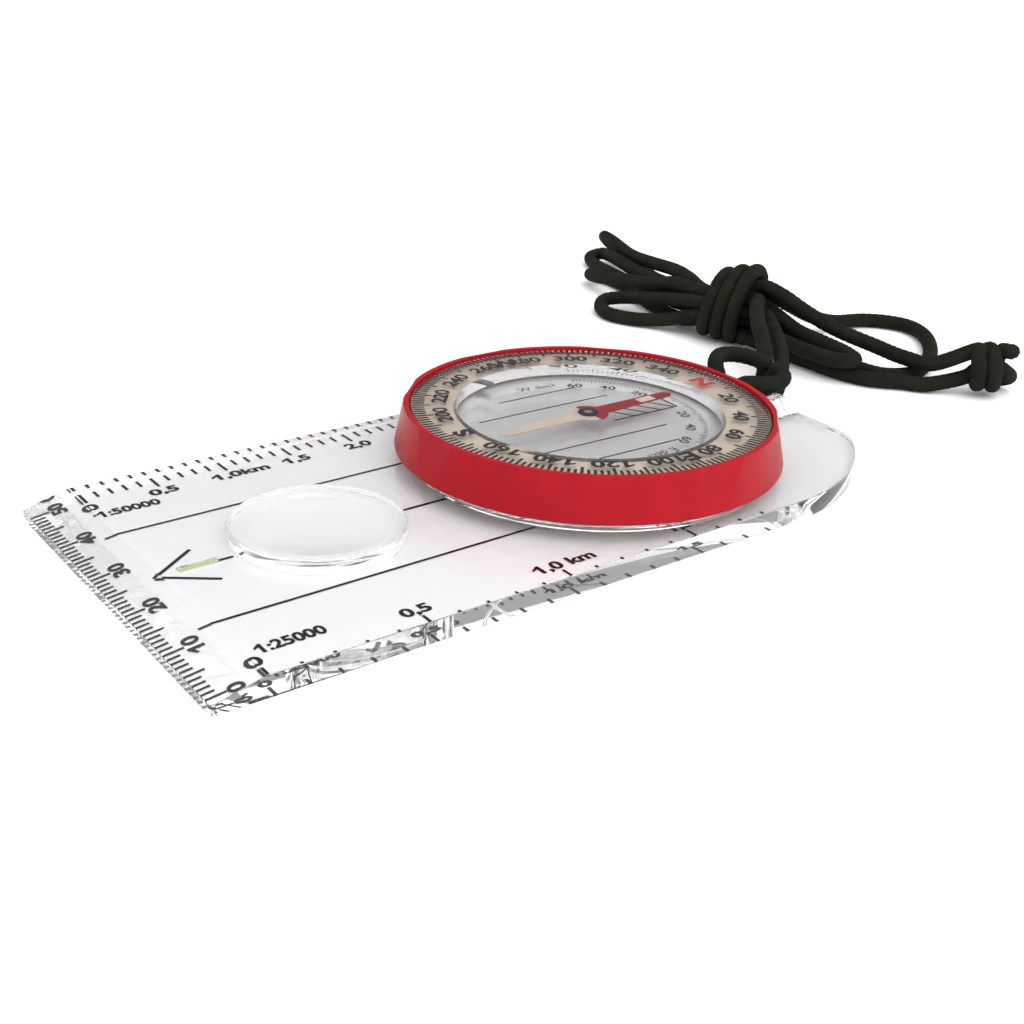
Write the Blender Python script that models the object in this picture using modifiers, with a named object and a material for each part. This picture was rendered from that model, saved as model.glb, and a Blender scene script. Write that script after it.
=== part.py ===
"""A baseplate compass for reading a map: clear ruler plate, turning liquid capsule and tied lanyard.

The plate lies on z = 0. +Y is the direction of travel, +X the edge with the 1:50000 scale. Lengths in
the tables below are millimetres and are turned into Blender's metres where a shape is made.
"""

import math

import bmesh
import bpy
from mathutils import Matrix, Vector

MM = 0.001

# Plate
PLATE_WIDTH = 54.5
PLATE_LENGTH = 110.0
PLATE_THICKNESS = 2.8
FRONT_EDGE_THICKNESS = 1.3
FRONT_BEVEL_LENGTH = 6.25
FRONT_CORNER_RADIUS = 0.6
SIDE_STRAIGHT_END_Y = -29.0
SIDE_ARC_RADIUS = 32.0
REAR_CORNER_RADIUS = 10.0

# Raised bridge that lets the lanyard pass under the rear edge while the plate lies flat
LANYARD_HOLE = (4.5, -49.2)
LANYARD_HOLE_RADIUS = 2.9
BRIDGE_TOP_Z = 4.6
BRIDGE_UNDERSIDE_Z = 2.75
BRIDGE_HALF_WIDTH = 6.0
BRIDGE_RAMP = 4.0
BRIDGE_LENGTH = 10.4
BRIDGE_FRONT_RAMP = 2.0
TUNNEL_HALF_WIDTH = 4.3
TUNNEL_LENGTH = 9.0

# Luminous strip let into the underside
STRIP_Y = (40.7, 45.6)
STRIP_WIDTH = 1.2
STRIP_DEPTH = 0.35
STRIP_GAP = 0.1

# Magnifier
MAGNIFIER_Y = 27.0
MAGNIFIER_RADIUS = 11.1
MAGNIFIER_WALL_TOP_Z = 3.6
MAGNIFIER_DOME = 1.3

# Capsule and bezel, all about one vertical axis
CAPSULE_Y = -16.2
DIAL_TURN = 177.3
NEEDLE_TURN = 179.7
BOND_GAP = 0.1
RUNNING_GAP = 0.2
RETAINER_RADIUS = 26.5
RETAINER_TOP_Z = 4.3
RETAINER_LIP_RADIUS = 23.3
RETAINER_LIP_THICKNESS = 0.5
FLANGE_RADIUS = 24.1
FLANGE_THICKNESS = 0.6
CAPSULE_INNER_RADIUS = 17.2
CAPSULE_WALL = 1.2
SKIRT_RADIUS = 23.0
SKIRT_WALL = 1.1
SKIRT_TOP_Z = 8.0
CAPSULE_TOP_Z = 9.2
BEZEL_BOTTOM_Z = 4.5
BEZEL_TOP_Z = 10.5
BEZEL_BOTTOM_RADIUS = 26.8
BEZEL_TOP_RADIUS = 25.6
BEZEL_RIM_INNER_RADIUS = 24.8
BEZEL_BORE_RADIUS = 23.3
BEZEL_FACET_DEPTH = 0.35
BEZEL_FACET_COUNT = 8
BEZEL_FACET_HALF_ANGLE = 8.5
BEZEL_FACET_PHASE = 1.2
COVER_THICKNESS = 0.8
DIAL_RING_THICKNESS = 0.6
DISC_THICKNESS = 0.2
DISC_HOLE_RADIUS = 1.6
PLUG_RADIUS = 0.8
PLUG_BEARING = 197.0
PLUG_Z = 6.2

# Needle and pivot
BOSS_RADIUS = 1.3
BOSS_TOP_Z = 5.0
PIN_RADIUS = 0.3
PIN_FOOT_Z = 4.0
PIN_TIP_Z = 6.55
NEEDLE_HALF_LENGTH = 15.6
NEEDLE_Z = 6.3
NEEDLE_THICKNESS = 0.3
NEEDLE_HUB_RADIUS = 2.8
NEEDLE_ROOT_HALF_WIDTH = 1.35
NEEDLE_END_HALF_WIDTH = 0.95
HUB_BOTTOM_RADIUS = 1.3
HUB_TOP_RADIUS = 0.9
HUB_HEIGHT = 0.7
JEWEL_RADIUS = 0.5
JEWEL_BASE_Z = 6.2
JEWEL_TOP_Z = 6.95
BEARING_PLUG_HEIGHT = 0.12

# Lanyard
CORD_DIAMETER = 2.6
CORD_SOLID_DIAMETER = 2.3
POINT_SPACING = 2.4 * CORD_DIAMETER
WRAP_FOOT = (29.4, -81.6, 7.5)
WRAP_HEAD = (37.8, -77.6, 6.0)
WRAP_FOOT_RADIUS = 7.2
WRAP_HEAD_RADIUS = 5.5
WRAP_TAPER_FROM = 0.35
END_KNOT_CENTRE = (-10.2, -93.8, 4.9)
END_KNOT_SIZE = (8.6, 8.6, 9.6)

# Each stretch of cord between the wrap, the plate and the end knot, as points on its centreline
LANYARD_ROUTES = {
    "lanyard_tether": [
        (26.4, -76.7, 10.2), (23.6, -74.2, 9.8), (18.6, -69.8, 9.0), (13.6, -65.6, 8.2),
        (10.0, -62.6, 6.8), (7.8, -60.4, 4.4), (6.4, -57.8, 2.0), (5.9, -54.8, 1.35),
        (5.9, -51.8, 1.35), (5.9, -49.7, 2.0), (5.9, -48.8, 4.0), (6.7, -48.7, 6.3), (9.0, -50.2, 7.6),
        (10.8, -53.0, 8.0), (10.5, -56.2, 7.7), (8.4, -58.2, 7.3), (5.2, -58.8, 6.8),
        (2.2, -58.2, 6.3), (0.6, -56.0, 6.1), (0.6, -52.8, 6.2), (2.1, -49.3, 6.4),
        (3.1, -48.8, 4.0), (3.1, -49.7, 2.0), (3.1, -51.8, 1.35), (3.1, -54.8, 1.35),
        (3.8, -58.4, 2.0), (5.6, -61.8, 4.0), (9.4, -66.0, 5.8), (14.4, -70.4, 6.8),
        (20.0, -75.0, 7.2), (23.6, -78.0, 7.1), (26.4, -80.2, 7.0),
    ],
    "lanyard_bight_front": [
        (37.4, -74, 4.3), (41.6, -74, 3), (45.6, -73, 1.8), (50, -70.4, 1.35),
        (54.4, -69, 1.35), (58.6, -70.4, 1.35), (60.8, -73.2, 1.9), (57.6, -75, 2.9),
        (50.6, -75.4, 4.4), (43.6, -74.8, 6.2), (37.9, -73.8, 7.4),
    ],
    "lanyard_bight_middle": [
        (39.2, -76, 9.35), (46, -77, 8.2), (54, -78.2, 6.2), (63, -79.6, 4.6),
        (70.8, -80.4, 3.2), (76.4, -83, 2.2), (75.6, -86.2, 1.5), (68, -85.2, 1.35),
        (58, -81.4, 1.35), (49, -78.8, 1.35), (43, -77.4, 1.6), (38.1, -76.5, 2.25),
    ],
    "lanyard_bight_rear": [
        (40.5, -80.4, 5.8), (48, -81.8, 5.6), (57, -84, 5.2), (66, -86.8, 4.4),
        (77, -91.4, 3.8), (84, -94.8, 3), (88.6, -96.8, 2.2), (89.4, -94.2, 1.5),
        (84, -91.2, 1.4), (75.6, -89.2, 1.4), (66.6, -87.4, 1.4), (56, -84.2, 2.4),
        (47, -79.6, 3.6), (39, -77, 5.8),
    ],
    "lanyard_bight_long": [
        (40.4, -79, 8.6), (47, -81.6, 8.4), (54, -84.8, 7.9), (66, -90.2, 6),
        (77.5, -95.4, 4.4), (89.9, -101.2, 4.1), (96.6, -104.6, 3.5), (98.2, -106.6, 2.2),
        (94.8, -105.8, 1.4), (88, -102.2, 1.35), (78, -97.6, 1.35), (65.4, -92, 2.2),
        (53, -86, 3), (45, -82, 2.8), (39.5, -79.3, 2.95),
    ],
    "lanyard_loop": [
        (28.8, -83.4, 9.6), (27.2, -87.6, 7), (27, -93.8, 4), (27.4, -101, 1.8),
        (26.2, -107.6, 1.35), (22.8, -111, 1.35), (18.4, -112, 1.35), (13.2, -109.4, 1.35),
        (7.8, -103.8, 1.35), (3.4, -97, 1.35), (0.8, -89.8, 1.35), (2.8, -84.8, 1.35),
        (8, -83.8, 1.35), (13.6, -84.6, 1.35), (19, -85, 2.2), (23.4, -84.6, 3.6),
        (27, -84.2, 4.4),
    ],
    "lanyard_turn": [
        (26.4, -79.8, 4.2), (21.6, -78.2, 4.1), (16, -76.8, 4.2), (10.8, -76.4, 4.2),
        (6.6, -77, 4.2), (5.2, -79.4, 4.2), (9, -81.4, 4.2), (15, -81.8, 4.6), (20.4, -82.2, 5),
        (24.6, -82.4, 5),
    ],
    "lanyard_run_upper": [
        (28.6, -81.2, 12), (24.6, -82, 10.4), (19.8, -84.2, 7.8), (14.6, -86.2, 5.8),
        (8, -87.8, 4.6), (1.6, -87.8, 4.2), (-3.4, -88.8, 4.4), (-6.6, -90.6, 4.7),
    ],
    "lanyard_run_lower": [
        (25.2, -79.4, 1.4), (19.6, -79.4, 1.35), (14, -79.4, 1.35), (8.4, -79.4, 1.35),
        (3, -80.8, 1.35), (-1, -84.4, 1.35), (-4.2, -86.8, 1.4), (-6.8, -89, 2),
    ],
}

# Colour (linear red, green, blue, alpha), roughness, metallic
FINISHES = {
    "clear_acrylic": ((0.93, 0.95, 0.95, 0.35), 0.05, 0.0),
    "red_plastic": ((0.50, 0.012, 0.022, 1.0), 0.32, 0.0),
    "greige_plastic": ((0.45, 0.39, 0.32, 1.0), 0.5, 0.0),
    "black_plastic": ((0.02, 0.02, 0.022, 1.0), 0.4, 0.0),
    "needle_paint": ((0.42, 0.02, 0.03, 1.0), 0.45, 0.0),
    "steel": ((0.55, 0.56, 0.58, 1.0), 0.3, 1.0),
    "jewel": ((0.75, 0.2, 0.3, 0.6), 0.05, 0.0),
    "luminous_green": ((0.58, 0.75, 0.36, 1.0), 0.5, 0.0),
    "cord": ((0.02, 0.026, 0.017, 1.0), 0.85, 0.0),
}


def clear_scene():
    for obj in list(bpy.data.objects):
        bpy.data.objects.remove(obj, do_unlink=True)


def make_collection(name):
    collection = bpy.data.collections.new(name)
    bpy.context.scene.collection.children.link(collection)
    return collection


def make_finish(name):
    color, roughness, metallic = FINISHES[name]
    finish = bpy.data.materials.new(name)
    finish.use_nodes = True
    shader = finish.node_tree.nodes["Principled BSDF"]
    shader.inputs["Base Color"].default_value = (*color[:3], 1.0)
    shader.inputs["Roughness"].default_value = roughness
    shader.inputs["Metallic"].default_value = metallic
    shader.inputs["Alpha"].default_value = color[3]
    finish.diffuse_color = color
    return finish


def add_part(name, mesh, finish, parent=None):
    part = bpy.data.objects.new(name, mesh)
    if finish.name not in mesh.materials:
        mesh.materials.append(finish)
    PARTS.objects.link(part)
    part.parent = parent
    return part


def add_cutter(name, mesh):
    cutter = bpy.data.objects.new(name, mesh)
    cutter.hide_render = True
    cutter.display_type = "WIRE"
    CUTTERS.objects.link(cutter)
    return cutter


def boolean(part, cutter, operation):
    modifier = part.modifiers.new(cutter.name, "BOOLEAN")
    modifier.operation = operation
    modifier.object = cutter
    modifier.solver = "EXACT"


def evaluated_mesh(obj, name):
    """The object's shape with its modifiers and curve settings applied, as a welded mesh."""
    graph = bpy.context.evaluated_depsgraph_get()
    mesh = bpy.data.meshes.new_from_object(obj.evaluated_get(graph))
    mesh.name = name
    shape = bmesh.new()
    shape.from_mesh(mesh)
    bmesh.ops.remove_doubles(shape, verts=shape.verts, dist=0.005 * MM)
    bmesh.ops.recalc_face_normals(shape, faces=shape.faces)
    shape.to_mesh(mesh)
    shape.free()
    return mesh


def smooth(mesh, angle=35.0):
    mesh.shade_smooth()
    mesh.set_sharp_from_angle(angle=math.radians(angle))
    return mesh


def flat_mesh(name, outlines, bottom_z, top_z):
    """A slab between two heights. The first outline is its edge and any others are holes through it."""
    curve = bpy.data.curves.new(name, "CURVE")
    curve.dimensions = "2D"
    curve.fill_mode = "BOTH"
    curve.extrude = (top_z - bottom_z) / 2 * MM
    for outline in outlines:
        spline = curve.splines.new("POLY")
        spline.points.add(len(outline) - 1)
        for point, (x, y) in zip(spline.points, outline):
            point.co = (x * MM, y * MM, 0.0, 1.0)
        spline.use_cyclic_u = True
    guide = bpy.data.objects.new(name, curve)
    CUTTERS.objects.link(guide)
    mesh = evaluated_mesh(guide, name)
    mesh.transform(Matrix.Translation((0, 0, (top_z + bottom_z) / 2 * MM)))
    bpy.data.objects.remove(guide)
    return mesh


def turned_mesh(name, profile, steps=72, closed=True):
    """A profile of (radius, z) turned about Z. It runs down its outer side. An open one ends on the axis."""
    edges = [(i, i + 1) for i in range(len(profile) - 1)]
    if closed:
        edges.append((len(profile) - 1, 0))
    line = bpy.data.meshes.new(name + "_profile")
    line.from_pydata([(r * MM, 0, z * MM) for r, z in profile], edges, [])
    guide = bpy.data.objects.new(name + "_profile", line)
    CUTTERS.objects.link(guide)
    screw = guide.modifiers.new("turn", "SCREW")
    screw.steps = screw.render_steps = steps
    screw.use_merge_vertices = True
    screw.merge_threshold = 0.001 * MM
    mesh = evaluated_mesh(guide, name)
    bpy.data.objects.remove(guide)
    return smooth(mesh)


def disc_mesh(name, radius, bottom_z, top_z, hole=0.0, steps=72):
    if hole:
        outline = [(radius, top_z), (radius, bottom_z), (hole, bottom_z), (hole, top_z)]
        return turned_mesh(name, outline, steps)
    profile = [(0, top_z), (radius, top_z), (radius, bottom_z), (0, bottom_z)]
    return turned_mesh(name, profile, steps, closed=False)


def box_mesh(name, size, centre, tilt_x=0.0):
    shape = bmesh.new()
    placed = (
        Matrix.Translation(Vector(centre) * MM)
        @ Matrix.Rotation(math.radians(tilt_x), 4, "X")
        @ Matrix.Diagonal((*(Vector(size) * MM), 1))
    )
    bmesh.ops.create_cube(shape, size=1.0, matrix=placed)
    mesh = bpy.data.meshes.new(name)
    shape.to_mesh(mesh)
    shape.free()
    return mesh


def arc(centre, radius, start, end, steps):
    """Points on an arc, from one angle in degrees to another."""
    for i in range(steps + 1):
        angle = math.radians(start + (end - start) * i / steps)
        yield (centre[0] + radius * math.cos(angle), centre[1] + radius * math.sin(angle))


def plate_outline():
    half_width, half_length = PLATE_WIDTH / 2, PLATE_LENGTH / 2
    corner_y = REAR_CORNER_RADIUS - half_length
    side_centre = (half_width - SIDE_ARC_RADIUS, SIDE_STRAIGHT_END_Y)
    drop = corner_y - side_centre[1]
    reach = math.sqrt((SIDE_ARC_RADIUS - REAR_CORNER_RADIUS) ** 2 - drop**2)
    corner_centre = (side_centre[0] + reach, corner_y)
    meeting = math.degrees(math.atan2(drop, reach))
    front_centre = (half_width - FRONT_CORNER_RADIUS, half_length - FRONT_CORNER_RADIUS)
    right = list(arc(front_centre, FRONT_CORNER_RADIUS, 90, 0, 4))
    right += list(arc(side_centre, SIDE_ARC_RADIUS, 0, meeting, 12))
    right += list(arc(corner_centre, REAR_CORNER_RADIUS, meeting, -90, 8))[1:]
    return right + [(-x, y) for x, y in reversed(right)]


def eased(t):
    t = min(max(t, 0.0), 1.0)
    return t * t * (3 - 2 * t)


def standing_slab(name, outline, front_y, rear_y):
    """An outline of (x, z) carried along Y from front_y back to rear_y."""
    mesh = flat_mesh(name, [outline], 0, front_y - rear_y)
    mesh.transform(Matrix.Translation((0, front_y * MM, 0)) @ Matrix.Rotation(math.radians(90), 4, "X"))
    return mesh


def bridge_outline():
    """The raised part of the rear edge in section: eased ramps up to a flat top."""
    reach = BRIDGE_HALF_WIDTH + BRIDGE_RAMP
    foot_z = PLATE_THICKNESS - 0.2
    right = []
    for i in range(9):
        rise = eased(i / 8) * (BRIDGE_TOP_Z - foot_z)
        right.append((reach - BRIDGE_RAMP * i / 8, foot_z + rise))
    right.insert(0, (reach, foot_z - 1.0))
    points = right + [(-x, z) for x, z in reversed(right)]
    return [(LANYARD_HOLE[0] + x, z) for x, z in points]


def tunnel_outline():
    """The way under the bridge for the cord, in section, with rounded upper corners."""
    corner = 1.0
    x = TUNNEL_HALF_WIDTH
    z = BRIDGE_UNDERSIDE_Z
    right = [(x, -1.0), *arc((x - corner, z - corner), corner, 0, 90, 4)]
    points = right + [(-px, pz) for px, pz in reversed(right)]
    return [(LANYARD_HOLE[0] + px, pz) for px, pz in points]


def make_bridge_cutter():
    """Everything above the plate's top surface, shaped round the bridge."""
    half_length = PLATE_LENGTH / 2
    block = 6.0
    middle = (0, 0, PLATE_THICKNESS + block / 2)
    above = add_cutter("above_plate", box_mesh("above_plate", (70, 130, block), middle))

    front_y = BRIDGE_LENGTH - half_length
    bridge_mesh = standing_slab("bridge", bridge_outline(), front_y + 1, -half_length - 20)
    bridge = add_cutter("bridge", bridge_mesh)
    rise = BRIDGE_TOP_Z - PLATE_THICKNESS
    slope = math.atan2(rise, BRIDGE_FRONT_RAMP)
    middle = Vector((LANYARD_HOLE[0], front_y - BRIDGE_FRONT_RAMP / 2, BRIDGE_TOP_Z - rise / 2))
    middle += Vector((0, math.sin(slope), math.cos(slope))) * block / 2
    ramp = box_mesh("bridge_ramp", (30, 14, block), middle, -math.degrees(slope))
    boolean(bridge, add_cutter("bridge_ramp", ramp), "DIFFERENCE")
    boolean(above, bridge, "DIFFERENCE")
    return above


def make_baseplate(finish):
    outline = plate_outline()
    half_length = PLATE_LENGTH / 2
    blank = flat_mesh("baseplate", [outline], 0, BRIDGE_TOP_Z + 1)
    plate = add_part("baseplate", blank, finish)
    boolean(plate, make_bridge_cutter(), "DIFFERENCE")

    drop = PLATE_THICKNESS - FRONT_EDGE_THICKNESS
    slope = math.atan2(drop, FRONT_BEVEL_LENGTH)
    block = 4.0
    middle = Vector((0, half_length - FRONT_BEVEL_LENGTH / 2, PLATE_THICKNESS - drop / 2))
    middle += Vector((0, math.sin(slope), math.cos(slope))) * block / 2
    wedge = box_mesh("bevel_cutter", (60, 14, block), middle, -math.degrees(slope))
    boolean(plate, add_cutter("bevel_cutter", wedge), "DIFFERENCE")

    tunnel_front = TUNNEL_LENGTH - half_length
    tunnel = standing_slab("tunnel", tunnel_outline(), tunnel_front, -half_length - 3)
    boolean(plate, add_cutter("tunnel", tunnel), "DIFFERENCE")
    hole = disc_mesh("lanyard_hole", LANYARD_HOLE_RADIUS, -1, 8, steps=32)
    hole.transform(Matrix.Translation((LANYARD_HOLE[0] * MM, LANYARD_HOLE[1] * MM, 0)))
    boolean(plate, add_cutter("lanyard_hole", hole), "DIFFERENCE")

    strip_length = STRIP_Y[1] - STRIP_Y[0]
    strip_middle = (0, sum(STRIP_Y) / 2, 0)
    pocket_size = (STRIP_WIDTH + 2 * STRIP_GAP, strip_length + 2 * STRIP_GAP, 2 * (STRIP_DEPTH + STRIP_GAP))
    pocket = add_cutter("strip_pocket", box_mesh("strip_pocket", pocket_size, strip_middle))
    boolean(plate, pocket, "DIFFERENCE")
    return plate


def make_luminous_strip(finish):
    middle = (0, sum(STRIP_Y) / 2, STRIP_GAP / 2 + STRIP_DEPTH / 2)
    size = (STRIP_WIDTH, STRIP_Y[1] - STRIP_Y[0], STRIP_DEPTH - STRIP_GAP)
    add_part("luminous_strip", box_mesh("luminous_strip", size, middle), finish)


def make_magnifier(finish):
    """A round lens bonded to the plate: a straight wall and a low dome of one radius of curvature."""
    sphere = (MAGNIFIER_RADIUS**2 + MAGNIFIER_DOME**2) / (2 * MAGNIFIER_DOME)
    sphere_z = MAGNIFIER_WALL_TOP_Z + MAGNIFIER_DOME - sphere
    dome = []
    for i in range(9):
        radius = MAGNIFIER_RADIUS * i / 8
        dome.append((radius, sphere_z + math.sqrt(sphere**2 - radius**2)))
    base_z = PLATE_THICKNESS + BOND_GAP
    mesh = turned_mesh("magnifier_lens", [*dome, (MAGNIFIER_RADIUS, base_z), (0, base_z)], 48, closed=False)
    lens = add_part("magnifier_lens", mesh, finish)
    lens.location = (0, MAGNIFIER_Y * MM, 0)


def make_retaining_ring(finish, axis):
    """The clear ring bonded to the plate. Its lip holds the capsule's flange down and lets it turn."""
    base_z = PLATE_THICKNESS + BOND_GAP
    bore = FLANGE_RADIUS + RUNNING_GAP
    lip_z = RETAINER_TOP_Z - RETAINER_LIP_THICKNESS
    profile = [
        (RETAINER_RADIUS, RETAINER_TOP_Z), (RETAINER_RADIUS, base_z), (bore, base_z), (bore, lip_z),
        (RETAINER_LIP_RADIUS, lip_z), (RETAINER_LIP_RADIUS, RETAINER_TOP_Z),
    ]
    add_part("retaining_ring", turned_mesh("retaining_ring", profile), finish, axis)


def make_capsule_cup(finish, axis):
    """Floor and flange, the wall that holds the liquid, the skirt that carries the dial, and the boss."""
    base_z = PLATE_THICKNESS + RUNNING_GAP
    floor_z = base_z + FLANGE_THICKNESS
    wall = CAPSULE_INNER_RADIUS + CAPSULE_WALL
    skirt = SKIRT_RADIUS - SKIRT_WALL
    bore = PIN_RADIUS + BOND_GAP
    bore_z = PIN_FOOT_Z - BOND_GAP
    profile = [
        (0, bore_z), (bore, bore_z), (bore, BOSS_TOP_Z), (BOSS_RADIUS, BOSS_TOP_Z), (BOSS_RADIUS, floor_z),
        (CAPSULE_INNER_RADIUS, floor_z), (CAPSULE_INNER_RADIUS, CAPSULE_TOP_Z), (wall, CAPSULE_TOP_Z),
        (wall, floor_z), (skirt, floor_z), (skirt, SKIRT_TOP_Z), (SKIRT_RADIUS, SKIRT_TOP_Z),
        (SKIRT_RADIUS, floor_z), (FLANGE_RADIUS, floor_z), (FLANGE_RADIUS, base_z), (0, base_z),
    ]
    cup = add_part("capsule_cup", turned_mesh("capsule_cup", profile, closed=False), finish, axis)
    hole = disc_mesh("plug_hole", PLUG_RADIUS + BOND_GAP, -2, 2, steps=20)
    hole.transform(plug_placement(CAPSULE_INNER_RADIUS + CAPSULE_WALL / 2))
    hole_cutter = add_cutter("plug_hole", hole)
    hole_cutter.parent = axis
    boolean(cup, hole_cutter, "DIFFERENCE")


def plug_placement(radius):
    """Turns a shape that stands on Z so that it points out of the capsule's wall."""
    outwards = Matrix.Rotation(math.radians(PLUG_BEARING), 4, "Z")
    lifted = Matrix.Translation((radius * MM, 0, PLUG_Z * MM))
    return outwards @ lifted @ Matrix.Rotation(math.radians(90), 4, "Y")


def make_filling_plug(finish, axis):
    half = CAPSULE_WALL / 2 - BOND_GAP
    plug = disc_mesh("filling_plug", PLUG_RADIUS, -half, half, steps=20)
    plug.transform(plug_placement(CAPSULE_INNER_RADIUS + CAPSULE_WALL / 2))
    add_part("filling_plug", plug, finish, axis)


def make_dial_parts(finishes, axis):
    floor_z = PLATE_THICKNESS + RUNNING_GAP + FLANGE_THICKNESS
    disc_z = floor_z + BOND_GAP
    disc_radius = CAPSULE_INNER_RADIUS - RUNNING_GAP
    disc = disc_mesh("orienting_disc", disc_radius, disc_z, disc_z + DISC_THICKNESS, DISC_HOLE_RADIUS)
    add_part("orienting_disc", disc, finishes["clear_acrylic"], axis)

    ring_z = SKIRT_TOP_Z + BOND_GAP
    ring_hole = CAPSULE_INNER_RADIUS + CAPSULE_WALL + RUNNING_GAP
    ring_radius = BEZEL_RIM_INNER_RADIUS - BOND_GAP
    ring = disc_mesh("dial_ring", ring_radius, ring_z, ring_z + DIAL_RING_THICKNESS, ring_hole)
    add_part("dial_ring", ring, finishes["greige_plastic"], axis)

    cover_z = CAPSULE_TOP_Z + BOND_GAP
    cover_radius = BEZEL_RIM_INNER_RADIUS - BOND_GAP
    cover = disc_mesh("dial_cover", cover_radius, cover_z, cover_z + COVER_THICKNESS)
    add_part("dial_cover", cover, finishes["clear_acrylic"], axis)


def facet_depth(angle, height):
    """How far the grip is cut in: a facet is widest at the ring's top and runs out to nothing at its foot."""
    span = 360.0 / BEZEL_FACET_COUNT
    off_centre = (angle - BEZEL_FACET_PHASE + span / 2) % span - span / 2
    return BEZEL_FACET_DEPTH * max(min(height, 1.0) - (off_centre / BEZEL_FACET_HALF_ANGLE) ** 2, 0.0)


def make_bezel(finish, axis):
    """The turning ring: round at its foot, with broad facets for the fingers towards its rim."""
    edge = 0.2
    slope = (BEZEL_BOTTOM_RADIUS - BEZEL_TOP_RADIUS) / (BEZEL_TOP_Z - BEZEL_BOTTOM_Z)
    outer = []
    for i in range(5):
        z = BEZEL_TOP_Z - edge - (BEZEL_TOP_Z - edge - BEZEL_BOTTOM_Z) * i / 4
        outer.append((BEZEL_BOTTOM_RADIUS - slope * (z - BEZEL_BOTTOM_Z), z))
    ledge_z = SKIRT_TOP_Z
    profile = [
        (BEZEL_TOP_RADIUS - edge, BEZEL_TOP_Z), *outer, (BEZEL_BORE_RADIUS, BEZEL_BOTTOM_Z),
        (BEZEL_BORE_RADIUS, ledge_z), (BEZEL_RIM_INNER_RADIUS, ledge_z),
        (BEZEL_RIM_INNER_RADIUS, BEZEL_TOP_Z - edge / 2), (BEZEL_RIM_INNER_RADIUS + edge / 2, BEZEL_TOP_Z),
    ]
    mesh = turned_mesh("bezel_ring", profile, 144)
    grip_from = (BEZEL_RIM_INNER_RADIUS + edge) * MM
    for vertex in mesh.vertices:
        radius = math.hypot(vertex.co.x, vertex.co.y)
        if radius < grip_from:
            continue
        height = (vertex.co.z / MM - BEZEL_BOTTOM_Z) / (BEZEL_TOP_Z - BEZEL_BOTTOM_Z)
        angle = math.degrees(math.atan2(vertex.co.y, vertex.co.x))
        cut = facet_depth(angle, height) * MM
        vertex.co.x *= 1 - cut / radius
        vertex.co.y *= 1 - cut / radius
    add_part("bezel_ring", smooth(mesh, 4.0), finish, axis)


def needle_outline():
    """A long strip, a little wider at its round hub, with pointed ends."""
    root, end = NEEDLE_ROOT_HALF_WIDTH, NEEDLE_END_HALF_WIDTH
    shoulder_y = math.sqrt(NEEDLE_HUB_RADIUS**2 - root**2)
    start = math.degrees(math.atan2(shoulder_y, root))
    half = [(0, NEEDLE_HALF_LENGTH), (end, NEEDLE_HALF_LENGTH - 1.0), (root, shoulder_y)]
    half += list(arc((0, 0), NEEDLE_HUB_RADIUS, start, -start, 10))[1:-1]
    half += [(root, -shoulder_y), (end, 1.0 - NEEDLE_HALF_LENGTH), (0, -NEEDLE_HALF_LENGTH)]
    return half + [(-x, y) for x, y in reversed(half[1:-1])]


def make_needle_parts(finishes, axis):
    hole = list(arc((0, 0), JEWEL_RADIUS + BOND_GAP, 0, 345, 23))
    top_z = NEEDLE_Z + NEEDLE_THICKNESS
    needle = flat_mesh("needle", [needle_outline(), hole], NEEDLE_Z, top_z)
    add_part("needle", needle, finishes["needle_paint"], axis)

    bore = JEWEL_RADIUS + BOND_GAP
    foot_z = top_z + BOND_GAP
    hub_top_z = foot_z + HUB_HEIGHT
    bore_top_z = JEWEL_TOP_Z + BOND_GAP
    hub = [
        (0, hub_top_z), (HUB_TOP_RADIUS, hub_top_z), (HUB_BOTTOM_RADIUS, foot_z),
        (bore, foot_z), (bore, bore_top_z), (0, bore_top_z),
    ]
    add_part("needle_hub", turned_mesh("needle_hub", hub, 32, closed=False), finishes["black_plastic"], axis)

    recess_z = PIN_TIP_Z + 1.5 * BOND_GAP
    jewel = [
        (0, JEWEL_TOP_Z), (JEWEL_RADIUS, JEWEL_TOP_Z), (JEWEL_RADIUS, JEWEL_BASE_Z),
        (PIN_RADIUS + BOND_GAP, JEWEL_BASE_Z), (0, recess_z),
    ]
    add_part("jewel_bearing", turned_mesh("jewel_bearing", jewel, 24, closed=False), finishes["jewel"], axis)

    plug_z = hub_top_z + BOND_GAP / 2
    plug_radius = HUB_TOP_RADIUS - BOND_GAP
    plug = disc_mesh("bearing_plug", plug_radius, plug_z, plug_z + BEARING_PLUG_HEIGHT, steps=24)
    add_part("bearing_plug", plug, finishes["steel"], axis)


def make_pivot_pin(finish, axis):
    shoulder_z = PIN_TIP_Z - 0.9
    pin = [(0, PIN_TIP_Z), (PIN_RADIUS, shoulder_z), (PIN_RADIUS, PIN_FOOT_Z), (0, PIN_FOOT_Z)]
    add_part("pivot_pin", turned_mesh("pivot_pin", pin, 20, closed=False), finish, axis)


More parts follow.
